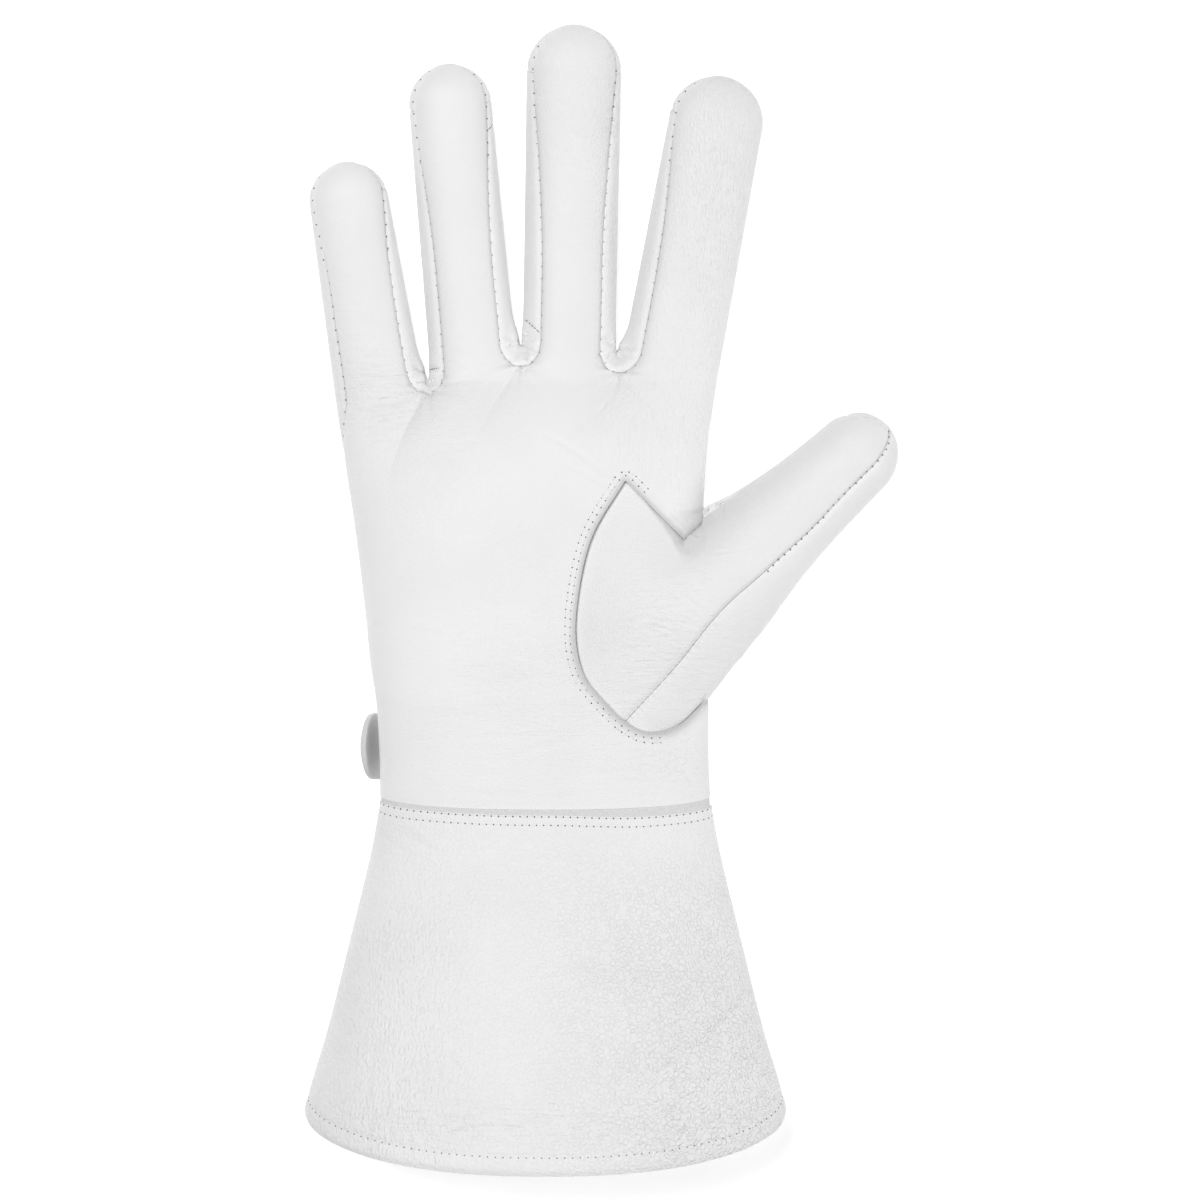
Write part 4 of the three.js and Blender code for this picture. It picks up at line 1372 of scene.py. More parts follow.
@dataclass(frozen=True)
class LeatherFinish:
    """White leather with a pebbled grain and fine stretched wrinkles.

    The strengths follow the piece's own attributes: grain, grain_long, creased_across,
    creased_along, creased_askew, and raw for a cut edge's greyer colour.
    """

    name: str
    colour: tuple[float, float, float]
    roughness: float = 0.5
    specular: float = 0.3
    grain_mm: float = 1.0
    grain_depth_mm: float = 0.08
    wrinkle_depth_mm: float = 0.16
    mottle: float = 0.03
    sheen: float = 0.02
    raw_colour: tuple[float, float, float] = (0.52, 0.52, 0.52)

    def material(self) -> bpy.types.Material:
        """Builds the leather's nodes.

        Formula: a faint mottle under a raw edge's colour, and five bumps in a row, each
        scaled by its attribute.

        Returns:
            The material.
        """
        nodes = FinishNodes(self.name)
        faint = nodes.add("TexNoise", "Fac", {"Vector": nodes.place, "Scale": 38.0, "Detail": 3.0})
        low = tuple(c * (1 - self.mottle) for c in self.colour)
        colour = nodes.ramp(faint, (0.35, low), (0.65, self.colour))
        edge = nodes.add("Attribute", "Fac", attribute_name="raw")
        mixed = nodes.add("Mix", "Result", {"Factor": edge, "A": colour, "B": (*self.raw_colour, 1)},
                          data_type="RGBA")
        normal = None
        for attribute, height, depth_mm in (
            ("creased_across", self._wrinkles(nodes, 0.0), self.wrinkle_depth_mm),
            ("creased_along", self._wrinkles(nodes, 88.0), self.wrinkle_depth_mm),
            ("creased_askew", self._wrinkles(nodes, 42.0), self.wrinkle_depth_mm),
            ("grain", self._pebbles(nodes, 1.0), self.grain_depth_mm),
            ("grain_long", self._pebbles(nodes, 2.2), self.grain_depth_mm),
        ):
            strength = nodes.add("Attribute", "Fac", attribute_name=attribute)
            scaled = nodes.add("Math", "Value", {0: height, 1: strength}, operation="MULTIPLY")
            inputs = {"Height": scaled, "Strength": 1.0, "Distance": depth_mm * METRES_PER_MM}
            if normal is not None:
                inputs["Normal"] = normal
            normal = nodes.add("Bump", "Normal", inputs)
        return nodes.finish({
            "Base Color": mixed,
            "Normal": normal,
            "Roughness": self.roughness,
            "Specular IOR Level": self.specular,
            "Sheen Weight": self.sheen,
            "Sheen Roughness": 0.5,
        })

    def _wrinkles(self, nodes: FinishNodes, angle: float) -> bpy.types.NodeSocket:
        """Adds thin lines at an angle to the X axis.

        Formula: noise stretched six to one along the lines, folded back on itself.

        Args:
            nodes: The material's nodes.
            angle: Angle of the lines in degrees.

        Returns:
            The height, from 0 to 1.
        """
        turned = nodes.add("Mapping", "Vector", {
            "Vector": nodes.place, "Rotation": (0.0, 0.0, -math.radians(angle)),
        })
        drawn = nodes.add("VectorMath", "Vector", {0: turned, 1: (150.0, 900.0, 500.0)},
                          operation="MULTIPLY")
        noise = nodes.add("TexNoise", "Fac", {
            "Vector": drawn, "Scale": 1.0, "Detail": 2.5, "Roughness": 0.55, "Distortion": 0.6,
        })
        crest = 0.25
        fold = nodes.add("Math", "Value", {0: noise, 1: crest}, operation="PINGPONG")
        return nodes.add("Math", "Value", {0: fold, 1: 1 / crest}, operation="MULTIPLY")

    def _pebbles(self, nodes: FinishNodes, stretch: float) -> bpy.types.NodeSocket:
        """Adds rounded cells with fine valleys between them.

        Formula: a smooth ramp of the distance to the nearest edge of a pattern of cells,
        on places shifted by a fine noise and drawn together along Y.

        Args:
            nodes: The material's nodes.
            stretch: Length of the cells along Y over their width.

        Returns:
            The height, from 0 to 1.
        """
        grain = self.grain_mm * METRES_PER_MM
        drift = nodes.add("TexNoise", "Color", {"Vector": nodes.place, "Scale": 400.0, "Detail": 2.0})
        shifted = nodes.add("VectorMath", "Vector", {0: drift, 1: (grain * 0.5,) * 3, 2: nodes.place},
                            operation="MULTIPLY_ADD")
        drawn = nodes.add("VectorMath", "Vector", {0: shifted, 1: (1.0, 1 / stretch, 1.0)},
                          operation="MULTIPLY")
        cells = nodes.add("TexVoronoi", "Distance", {"Vector": drawn, "Scale": 1 / grain},
                          feature="DISTANCE_TO_EDGE")
        return nodes.add("MapRange", "Result", {"Value": cells, "From Min": 0.0, "From Max": 0.24},
                         interpolation_type="SMOOTHSTEP")


@dataclass(frozen=True)
class PlainFinish:
    """A finish for thread, the painted shade of needle pits, suede and the snap, with a fine rough
    texture.
    """

    name: str
    colour: tuple[float, float, float]
    roughness: float
    fuzz_mm: float = 0.4
    fuzz_depth_mm: float = 0.03
    specular: float = 0.3

    def material(self) -> bpy.types.Material:
        """Builds the finish's nodes.

        Formula: a fine noise that darkens the colour a little and roughens the surface.

        Returns:
            The material.
        """
        nodes = FinishNodes(self.name)
        scale = 1 / (self.fuzz_mm * METRES_PER_MM)
        fuzz = nodes.add("TexNoise", "Fac", {"Vector": nodes.place, "Scale": scale, "Detail": 3.0})
        low = tuple(c * 0.86 for c in self.colour)
        return nodes.finish({
            "Base Color": nodes.ramp(fuzz, (0.3, low), (0.7, self.colour)),
            "Normal": nodes.add("Bump", "Normal", {
                "Height": fuzz, "Distance": self.fuzz_depth_mm * METRES_PER_MM,
            }),
            "Roughness": self.roughness,
            "Specular IOR Level": self.specular,
        })


class Finishes:
    """The glove's finishes, each built once."""

    def __init__(self) -> None:
        """Builds every material."""
        self.hand = LeatherFinish("hand_leather", (0.86, 0.86, 0.86)).material()
        self.cuff = LeatherFinish("cuff_leather", (0.85, 0.85, 0.85), grain_mm=1.5,
                                  grain_depth_mm=0.19, wrinkle_depth_mm=0.2).material()
        # The strap's grey, darker than the glove's white leather, is painted shade for the strap end's
        # face that stands in shadow beside the hand.
        self.strap = LeatherFinish("strap_leather", (0.7, 0.7, 0.7), grain_mm=1.0).material()
        self.suede = PlainFinish("seam_suede", (0.74, 0.74, 0.74), 0.95, 0.5, 0.12).material()
        self.thread = PlainFinish("thread", (0.8, 0.8, 0.8), 0.7, 0.25, 0.03).material()
        # Painted shade: the shade inside the needle pits is drawn as near-black dots of this colour.
        self.hole = PlainFinish("needle_pit_painted_shade", (0.14, 0.14, 0.14), 0.9).material()
        self.snap = PlainFinish("snap", (0.75, 0.75, 0.75), 0.35, 2.0, 0.0).material()


# Stitches


@dataclass(frozen=True)
class Stitching:
    """A row of stitches along a line: thread between near-black dots, which are painted shade for the
    needle pits.
    """

    pitch: float
    pit_shade_width: float
    thread_length: float = 0.0
    thread_width: float = 0.0
    sink: float = 0.1

    def build(self, name: str, rows: list[tuple[np.ndarray, np.ndarray]], finishes: Finishes,
              slot: str) -> None:
        """Makes the rows' threads and needle holes.

        Formula: one small ellipsoid for each thread and one for each needle pit's painted shade, on
        the row's points at even steps, turned along the row and laid on the leather.

        Args:
            name: Name of the stitching.
            rows: Lines of points and their outward directions.
            finishes: The glove's finishes.
            slot: Material slot of the part that the pieces belong to; not used.
        """
        pit_shades, threads = [], []
        for line, normal in rows:
            place, up = resample(line, self.pitch), unit(resample(line, self.pitch, normal))
            along = unit(np.gradient(place, axis=0))
            pit_shades.append((place, along, up))
            threads.append(((place[1:] + place[:-1]) / 2, along[1:], unit(up[1:] + up[:-1])))
        size = (self.pit_shade_width, self.pit_shade_width, self.pit_shade_width * 0.7)
        # The dark dots are painted shade standing in for the shadowed needle pits.
        dress(beads(f"{name}_holes", pit_shades, size, 0.0), finishes.hole, slot)
        if self.thread_length > 0:
            size = (self.thread_length, self.thread_width, self.thread_width)
            dress(beads(f"{name}_thread", threads, size, self.sink), finishes.thread, slot)


def beads(name: str, rows: list, size: tuple[float, float, float], sink: float) -> bpy.types.Object:
    """Makes many small ellipsoids in one mesh.

    Args:
        name: Name of the piece.
        rows: Places, lengthwise directions and outward directions of each row.
        size: Full length, width and height of one ellipsoid.
        sink: How far each is set into the leather.

    Returns:
        The new object.
    """
    place, along, up = (np.concatenate([row[i] for row in rows]) for i in range(3))
    side = unit(np.cross(up, along))
    rings, sides = 3, 6
    polar = np.linspace(0, math.pi, rings + 2)[1:-1]
    azimuth = np.arange(sides) * 2 * math.pi / sides
    ring = np.stack((
        np.repeat(np.cos(polar), sides),
        (np.sin(polar)[:, None] * np.cos(azimuth)).ravel(),
        (np.sin(polar)[:, None] * np.sin(azimuth)).ravel(),
    ), axis=-1)
    ball = np.concatenate(([[1.0, 0, 0]], ring, [[-1.0, 0, 0]])) * np.array(size) / 2
    last = 1 + rings * sides
    k = np.arange(sides)
    faces = [np.stack((np.zeros(sides, int), 1 + k, 1 + (k + 1) % sides), -1)]
    for r in range(rings - 1):
        a, b = 1 + r * sides + k, 1 + r * sides + (k + 1) % sides
        faces += [np.stack((a, a + sides, b), -1), np.stack((b, a + sides, b + sides), -1)]
    low = 1 + (rings - 1) * sides
    faces.append(np.stack((low + (k + 1) % sides, low + k, np.full(sides, last)), -1))
    faces = np.concatenate(faces)
    points = (
        (place - up * sink)[:, None, :]
        + ball[None, :, 0:1] * along[:, None, :]
        + ball[None, :, 1:2] * side[:, None, :]
        + ball[None, :, 2:3] * up[:, None, :]
    ).reshape(-1, 3)
    offsets = np.arange(len(place))[:, None, None] * len(ball)
    return place_mesh(name, points, (faces[None] + offsets).reshape(-1, 3), 180.0)


# The hand


@dataclass
class HandPanels:
    """The palm, the back and the fourchettes, sewn along the sides of the fingers."""

    body: BodyShape
    thumb: ThumbShape
    finishes: Finishes
    cell: float = 0.8
    groove_depth: float = 0.7
    groove_width: float = 0.8
    pucker_pitch: float = 3.7
    lip_rise: float = 0.25
    stitch_rows: tuple[float, float] = (1.7, 3.2)
    join_floor: float = 9.0
    web_fold: float = 1.1
    web_pinch: float = 1.3
    gap_squeeze: float = 0.55
    gap_reach: float = 5.5
    stitch_limit: float = 35.0

    def __post_init__(self) -> None:
        """Numbers the panels and welds the skin."""
        fingers = self.body.fingers
        self.names = ["palm_panel", "back_panel"]
        self.names += [f"fourchettes_{a.name}_{b.name}" for a, b in zip(fingers[:-1], fingers[1:])]
        self.nodes = [["palm_panel"], ["back_panel"]]
        self.nodes += [[f"fourchette_{a.name}_outer", f"fourchette_{b.name}_inner"]
                       for a, b in zip(fingers[:-1], fingers[1:])]
        self.skin = self._make_skin()
        self.normals = self.skin.normals()

    def _columns(self, side: Side) -> np.ndarray:
        """Spaces the columns of a side, closer together at its seams.

        Args:
            side: Side of the finger that they run into.

        Returns:
            Shares of the way over the side.
        """
        arc = {Side.PALM: 27.0, Side.BACK: 27.0, Side.INNER: 15.0, Side.OUTER: 15.0}[side]
        t = np.linspace(0, 1, int(arc / self.cell) + 1)
        return lerp(t, (1 - np.cos(math.pi * t)) / 2, 0.45)

    def _make_skin(self) -> Skin:
        """Lays the hand's and the fingers' patches side by side.

        Returns:
            The welded surface.
        """
        skin = Skin()
        rows = np.linspace(0, 1, int(126 / self.cell) + 1)
        for finger, side in self.body.ring():
            q = self._columns(side)
            palm = side in (Side.PALM, Side.INNER)
            skin.patch(self.body.hand(finger, side, q, rows), 0 if palm else 1)
        for finger in self.body.fingers:
            s = finger.rows(self.cell)
            for side in Side:
                q = self._columns(side)
                skin.patch(finger.surface(side, q, s), self._finger_panels(finger, side, q, s))
        return skin.weld()

    def _finger_panels(self, finger: Finger, side: Side, q: np.ndarray, s: np.ndarray) -> np.ndarray:
        """Finds the panel that each cell of a finger's side belongs to.

        Args:
            finger: The finger.
            side: Side of the finger.
            q: Shares of the way over that side, one for each column of points.
            s: Distances from the root, one for each row of points.

        Returns:
            Panel numbers by column and row.
        """
        cells = np.zeros((len(q) - 1, len(s) - 1), int)
        if side is Side.BACK:
            return cells + 1
        if side is Side.PALM:
            return cells
        gap = finger.inner_gap if side is Side.INNER else finger.outer_gap
        if gap is None:
            return cells + (0 if side is Side.INNER else 1)
        number = 2 + self.body.fingers.index(finger) - (1 if side is Side.INNER else 0)
        return cells + np.where(s[1:] > SIZES.fourchette_end * finger.length, 1, number)[None, :]

    def seams(self, side: Side) -> list[np.ndarray]:
        """Finds the sewn lines along the palm's or the back's edges.

        Args:
            side: PALM or BACK.

        Returns:
            Lines of points, one for each gap and one for the open side that is sewn.
        """
        lines = []
        fingers = self.body.fingers
        inner_end, outer_end = (0.0, 1.0) if side is Side.PALM else (1.0, 0.0)

        def edge(finger: Finger, q: float) -> np.ndarray:
            """Returns one long edge of a finger's side, from the root to near the tip."""
            s = np.linspace(0, finger.length * 0.985, 240)
            return finger.surface(side, np.array([q]), s)[0]

        for finger, mate in zip(fingers[:-1], fingers[1:]):
            lines.append(np.concatenate((edge(finger, outer_end)[::-1], edge(mate, inner_end)[1:])))
        rows = np.linspace(0, 1, 240)
        if side is Side.PALM:
            finger, q = fingers[-1], outer_end
        else:
            finger, q = fingers[0], inner_end
        hand = self.body.hand(finger, side, np.array([q]), rows)[0]
        lines.append(np.concatenate((edge(finger, q)[::-1], hand[::-1][1:])))
        return lines

    def _seam_height(self, points: np.ndarray) -> np.ndarray:
        """Finds how far the sewing draws the leather in.

        Formula: a rounded valley along each seam, a little deeper at every stitch, and
        along the ends of the fourchettes.

        Args:
            points: Points of the skin.

        Returns:
            Heights, none above 0.
        """
        height = np.zeros(len(points))
        for line in self.seams(Side.PALM) + self.seams(Side.BACK):
            distance, along, _ = nearest(points, resample(line, 0.5), 6.0)
            stitch = 1 + 0.14 * np.cos(2 * math.pi * along / self.pucker_pitch)
            valley = bell(distance, self.groove_width) * stitch + 0.4 * bell(distance, 2.6)
            height = np.minimum(height, -self.groove_depth * valley)
        for finger in self.body.fingers:
            for side, gap in ((Side.INNER, finger.inner_gap), (Side.OUTER, finger.outer_gap)):
                if gap is None:
                    continue
                s = np.array([SIZES.fourchette_end * finger.length, finger.length])
                line = finger.surface(side, np.linspace(0, 1, 30), s)[:, 0]
                distance, _, _ = nearest(points, line, 3.0)
                height = np.minimum(height, -0.4 * bell(distance, 0.6))
        for start, end in FOURCHETTE_JOINS:
            line = lerp(np.array(start), np.array(end), np.linspace(0, 1, 20)[:, None])
            distance, _, _ = nearest(points[:, :2], line, 3.0)
            height = np.minimum(height, -0.5 * bell(distance, 0.5) * (points[:, 2] > self.join_floor))
        return height

    def _web_puckers(self, points: np.ndarray) -> np.ndarray:
        """Finds the small folds round each gap between the fingers.

        Formula: three parts that fade out with the distance. Soft waves fan out below the
        web, sharp folds run out from its bottom, and one deeper pinch lies beside it.

        Args:
            points: The skin's points.

        Returns:
            Heights in millimetres.
        """
        height = np.zeros(len(points))
        for finger in self.body.fingers[:-1]:
            gap = finger.outer_gap
            dx, dy = points[:, 0] - gap.x, points[:, 1] - gap.level
            away = np.hypot(dx, dy)
            fan = np.cos(9 * np.arctan2(dx, -dy) + gap.x)
            near = smoothstep(away, 0.3, 2.0) * np.exp(-away / 4.5) * (dy < 2)
            height += 0.45 * fan * near
            dy = dy - gap.web - 0.5
            away = np.hypot(dx, dy)
            turn = np.arctan2(dx, -dy)
            folds = 1 - np.abs(np.sin(4 * turn + gap.x + 0.7 * np.sin(3 * turn + gap.x)))
            near = smoothstep(away, 0.2, 1.6) * (1 - smoothstep(away, 3.8, 6.8)) * (dy < 3.5)
            height -= self.web_fold * folds**2 * near
            pinch = bell(turn - 0.55, 0.22) * (1 - smoothstep(away, 2.0, 5.0))
            height -= self.web_pinch * pinch * (dy < 1.5)
        return height

    def _narrow_gaps(self, points: np.ndarray, normals: np.ndarray) -> np.ndarray:
        """Draws the two sides of each gap together just above its web.

        Formula: the distance from the gap's middle shrinks by up to half beside the web,
        with a bell-shaped weight along the gap and none near the seams.

        Args:
            points: The skin's points.
            normals: Their outward directions.

        Returns:
            The moved points.
        """
        moved = points.copy()
        for finger in self.body.fingers[:-1]:
            gap = finger.outer_gap
            dx, dy = points[:, 0] - gap.x, points[:, 1] - gap.level - gap.web
            weight = bell(dy - 2.0, self.gap_reach) * (1 - smoothstep(np.abs(dx), 1.8, 4.2))
            weight = weight * (1 - smoothstep(np.abs(normals[:, 2]), 0.35, 0.85))
            moved[:, 0] = moved[:, 0] - self.gap_squeeze * weight * dx
        return moved

    def _set_in_height(self, points: np.ndarray, normals: np.ndarray) -> np.ndarray:
        """Finds how the sewing shapes the palm round the thumb.

        Formula: a raised lip along the base seam and a narrow valley for each stitch row.

        Args:
            points: The skin's points.
            normals: Their outward directions.

        Returns:
            Heights in millimetres.
        """
        outline = resample(self.thumb.outline(), 0.4)
        distance, _, _ = nearest(points[:, :2], outline, 8.0)
        lip = self.lip_rise * bell(distance, 2.4)
        rows = sum(0.28 * bell(distance - row, 0.4) for row in self.stitch_rows)
        return (lip - rows) * smoothstep(normals[:, 2], 0.1, 0.5)

    def shape(self) -> None:
        """Draws in the seams and folds the leather, on the whole skin at once."""
        points, normals = self.skin.points, self.normals
        palm_side = smoothstep(normals[:, 2], 0.0, 0.5)
        hand = 1 - smoothstep(points[:, 1], 128, 150)
        creases = crease_height(points[:, :2], PALM_CREASES, PALM_SINGLES)
        waves = soft_waves(points, 5, 0.11, 7) * 0.06
        height = self._seam_height(points)
        height = height + (creases * hand + self._set_in_height(points, normals)) * palm_side
        height = height + waves * smoothstep(np.abs(normals[:, 2]), 0.0, 0.5)
        height = height + self._web_puckers(points) * smoothstep(normals[:, 2], -0.3, 0.1)
        height *= smoothstep(points[:, 2], 0.0, 1.5) * 0.85 + 0.15
        self.skin.points = self._narrow_gaps(points + normals * height[:, None], normals)
        self.normals = self.skin.normals()

    def _attributes(self, piece: bpy.types.Object) -> None:
        """Stores where the leather is grained and finely wrinkled.

        The strengths follow the plan: fine lines across the little finger's base and the
        lower palm, and lines down from the gap beside the index finger.

        Args:
            piece: The panel.
        """
        x, y, z = mesh_points(piece).T
        lower_palm = 0.35 * oval(x, y, (-10, 30), (46, 30)) + 0.4 * oval(x, y, (36, 16), (20, 14))
        across = 0.7 * oval(x, y, (-48, 125), (22, 16)) + lower_palm
        index = 0.3 * oval(x, y, (50, 172), (14, 44)) + 0.25 * oval(x, y, (12, 190), (10, 40))
        along = 0.55 * oval(x, y, (32, 108), (16, 26)) + index
        askew = 0.7 * oval(x, y, (38, 12), (14, 14)) + 0.4 * oval(x, y, (26, 118), (14, 12))
        edge = -self.thumb.inside(np.column_stack((x, y)), 4.0)
        width = lerp(1.0, 1.7, smoothstep(62 - y, 0, 20))
        paint(
            piece,
            creased_across=np.clip(across + 0.12, 0, 1),
            creased_along=np.clip(along + 0.08, 0, 1),
            creased_askew=askew,
            raw=0.9 * bell(edge, width) * smoothstep(z, 12, 20) * piece.name.startswith("palm"),
            grain=0.4 + 0.25 * np.sin(x / 19 + 1) * np.sin(y / 27) + 0.4 * oval(x, y, (22, 190), (9, 50)),
            grain_long=1.5 * oval(x, y, (54, 180), (19, 80)) + 0.9 * oval(x, y, (21, 186), (9, 60)),
        )

    def _cut_for_thumb(self, piece: bpy.types.Object) -> None:
        """Cuts the thumb's opening out of the palm.

        Args:
            piece: The palm panel as a closed wall.
        """
        outline = resample(self.thumb.outline(), 0.6)
        far = SIZES.hem_span
        ring = np.concatenate((outline, [[far, outline[-1, 1]], [far, outline[0, 1]]]))[::-1]
        n, top = len(ring), 90.0
        heights = np.repeat((self.thumb.hole_floor, top), n)
        points = np.column_stack((np.tile(ring, (2, 1)), heights))
        mesh = bpy.data.meshes.new("thumb_cutter")
        k = np.arange(n)
        ahead = (k + 1) % n
        walls = np.stack((k, ahead, ahead + n, k + n), -1).tolist()
        caps = [k[::-1].tolist(), (k + n).tolist()]
        mesh.from_pydata(((points + FRAME_SHIFT) * METRES_PER_MM).tolist(), [], walls + caps)
        mesh.update()
        cutter = add_object("thumb_cutter", mesh)
        cut = piece.modifiers.new("opening", "BOOLEAN")
        cut.operation, cut.solver, cut.object = "DIFFERENCE", "EXACT", cutter
        bpy.context.view_layer.update()
        graph = bpy.context.evaluated_depsgraph_get()
        result = bpy.data.meshes.new_from_object(piece.evaluated_get(graph))
        old, name = piece.data, piece.name
        piece.modifiers.clear()
        piece.data = result
        bpy.data.meshes.remove(old)
        bpy.data.objects.remove(cutter)
        result.name = name
        result.shade_smooth()
        result.set_sharp_from_angle(angle=math.radians(SHARP_EDGE))

    def build(self) -> None:
        """Makes every panel of the hand as a wall of leather."""
        self.shape()
        thickness = np.full(len(self.skin.points), SIZES.hand_leather)
        for number, name in enumerate(self.names):
            points, faces = self.skin.wall(number, self.normals, thickness, 0.05)
            piece = place_mesh(f"{name}_leather", points, faces)
            if name == "palm_panel":
                self._cut_for_thumb(piece)
            self._attributes(piece)
            dress(piece, self.finishes.hand, "hand_leather", *self.nodes[number])

    def sew(self) -> None:
        """Stitches the fingers' seams and the thumb's base."""
        clear, faint = [], []
        for side in (Side.PALM, Side.BACK):
            *gaps, open_side = self.seams(side)
            clear.append(self.lay(open_side))
            for line in gaps:
                step = 0.6
                line = resample(line, step)
                near_tip = int(30.0 / step)
                clear += [self.lay(line[:near_tip]), self.lay(line[-near_tip:])]
                faint.append(self.lay(line[near_tip:-near_tip]))
        Stitching(self.pucker_pitch, 0.5).build("finger_seams", clear, self.finishes, "hand_leather")
        Stitching(self.pucker_pitch, 0.32).build("web_seams", faint, self.finishes, "hand_leather")
        joins = []
        high = np.flatnonzero((self.skin.points[:, 2] > self.join_floor) & (self.normals[:, 2] > 0.05))
        for start, end in FOURCHETTE_JOINS:
            line = lerp(np.array(start), np.array(end), np.linspace(0, 1, 16)[:, None])
            gaps = np.linalg.norm(line[:, None, :] - self.skin.points[high][None, :, :2], axis=2)
            joins.append(self.lay(np.column_stack((line, self.skin.points[high][gaps.argmin(1), 2]))))
        Stitching(0.42, 0.34).build("fourchette_joins", joins, self.finishes, "hand_leather")
        outline = self.thumb.outline(last_turn=148.0)
        rows = []
        for distance in self.stitch_rows:
            row = resample(offset_line(outline, -distance), 0.8)
            row = row[row[:, 0] < self.stitch_limit]
            rows.append(self.lay(np.column_stack((row, self.body.palm_height(row)))))
        stitching = Stitching(2.5, 0.5, 1.5, 0.4, 0.08)
        stitching.build("thumb_base_seam", rows, self.finishes, "hand_leather")

    def lay(self, line: np.ndarray) -> tuple[np.ndarray, np.ndarray]:
        """Lays a line on the folded leather.

        Args:
            line: Points near the leather.

        Returns:
            The points moved onto it, and the outward directions there.
        """
        return lay_on(self.skin.points, self.normals, line)


def lay_on(points: np.ndarray, normals: np.ndarray, line: np.ndarray) -> tuple[np.ndarray, np.ndarray]:
    """Moves a line along the outward directions onto a surface.

    Args:
        points: The surface's points.
        normals: Their outward directions.
        line: Points near the surface.

    Returns:
        The moved line and its outward directions.
    """
    best = np.zeros(len(line), int)
    for part in np.array_split(np.arange(len(line)), max(1, len(line) // 40)):
        low, high = line[part].min(0) - 4, line[part].max(0) + 4
        near = np.flatnonzero(((points > low) & (points < high)).all(1))
        gaps = np.linalg.norm(line[part][:, None, :] - points[near][None, :, :], axis=2)
        best[part] = near[gaps.argmin(1)]
    out = unit(smoothed(normals[best]))
    height = smoothed(((points[best] - line) * out).sum(1, keepdims=True))
    return line + out * height, out


def smoothed(values: np.ndarray, reach: int = 3) -> np.ndarray:
    """Returns rows averaged with their neighbours up to a reach away."""
    padded = np.pad(values, ((reach, reach), (0, 0)), mode="edge")
    return sum(padded[i:i + len(values)] for i in range(2 * reach + 1)) / (2 * reach + 1)


def offset_line(line: np.ndarray, distance: float) -> np.ndarray:
    """Returns a line in plan moved sideways, to its right as it runs for a positive distance."""
    along = unit(np.gradient(line, axis=0))
    return line + np.stack((along[:, 1], -along[:, 0]), axis=-1) * distance


# The thumb


@dataclass
class ThumbPanels:
    """The set-in thumb's two pieces and the long seam between them."""

    shape: ThumbShape
    finishes: Finishes
    pucker_pitch: float = 1.9
    folded_edge: float = 0.08

    def __post_init__(self) -> None:
        """Welds the thumb's surface and folds its leather."""
        thumb = self.shape
        front = np.concatenate((
            np.linspace(thumb.front_seam, 126, 50),
            np.linspace(126, thumb.apex_turn, 56)[1:],
            np.linspace(thumb.apex_turn, 180, 40)[1:],
            np.linspace(180, thumb.back_seam, 16)[1:],
        ))
        back = np.linspace(thumb.back_seam, 360 + thumb.front_seam, 110)
        t = np.linspace(0, 1, 170)
        shaft = 0.88 * lerp(t, t**2, 0.6)
        share = np.concatenate((shaft, 0.88 + 0.12 * np.sin(np.linspace(0, math.pi / 2, 26))[1:]))
        self.skin = Skin()
        self.skin.patch(thumb.surface(front, share), 0)
        self.skin.patch(thumb.surface(back, share), 1)
        self.skin.weld()
        self.front_line = thumb.surface(np.array([thumb.front_seam]), np.linspace(0.01, 0.995, 200))[0]
        self.back_line = thumb.surface(np.array([thumb.back_seam]), np.linspace(0.0, 0.995, 200))[0]
        self._fold()

    def _fold(self) -> None:
        """Draws in the two long seams and adds the creases beside them."""
        points, normals = self.skin.points, self.skin.normals()
        height = np.zeros(len(points))
        for line in (self.front_line, self.back_line):
            distance, along, _ = nearest(points, resample(line, 0.5), 6.0)
            stitch = 1 + 0.15 * np.cos(2 * math.pi * along / self.pucker_pitch)
            valley = 0.8 * bell(distance, 0.85) * stitch + 0.35 * bell(distance, 2.6)
            height = np.minimum(height, -valley)
        up = smoothstep(normals[:, 2], 0.0, 0.4)
        height = height + crease_height(points[:, :2], THUMB_CREASES) * up
        self.skin.points = self.shape.seat(points + normals * height[:, None])
        self.normals = self.skin.normals()

    def build(self) -> None:
        """Makes both pieces of the thumb as walls of leather, and sews them.

        Beside the notch, where the leather is folded over under the palm, the wall is
        thin, so that its inside doesn't come through.
        """
        points = self.skin.points
        _, _, _, middle = self.shape.body.section(points[:, 1])
        high = (points[:, 1] > self.shape.halfway) & (points[:, 2] > middle + 2)
        folded = high & (self.normals[:, 2] < 0.12) & (np.abs(self.shape.inside(points[:, :2])) < 3)
        thickness = np.where(folded, self.folded_edge, SIZES.hand_leather)
        for number, name in enumerate(("thumb_front", "thumb_back")):
            points, faces = self.skin.wall(number, self.normals, thickness, 0.05)
            piece = place_mesh(f"{name}_leather", points, faces)
            x, y, _ = mesh_points(piece).T
            across = 0.15 + 0.7 * oval(x, y, (38, 48), (22, 22))
            paint(piece, creased_across=across, creased_along=0.1, grain=0.5)
            dress(piece, self.finishes.hand, "hand_leather", name)
        lines = (self.front_line[105:], self.back_line[:172])
        rows = [lay_on(self.skin.points, self.normals, line) for line in lines]
        Stitching(2.4, 0.5).build("thumb_seams", rows, self.finishes, "hand_leather")


# The wrist and the cuff


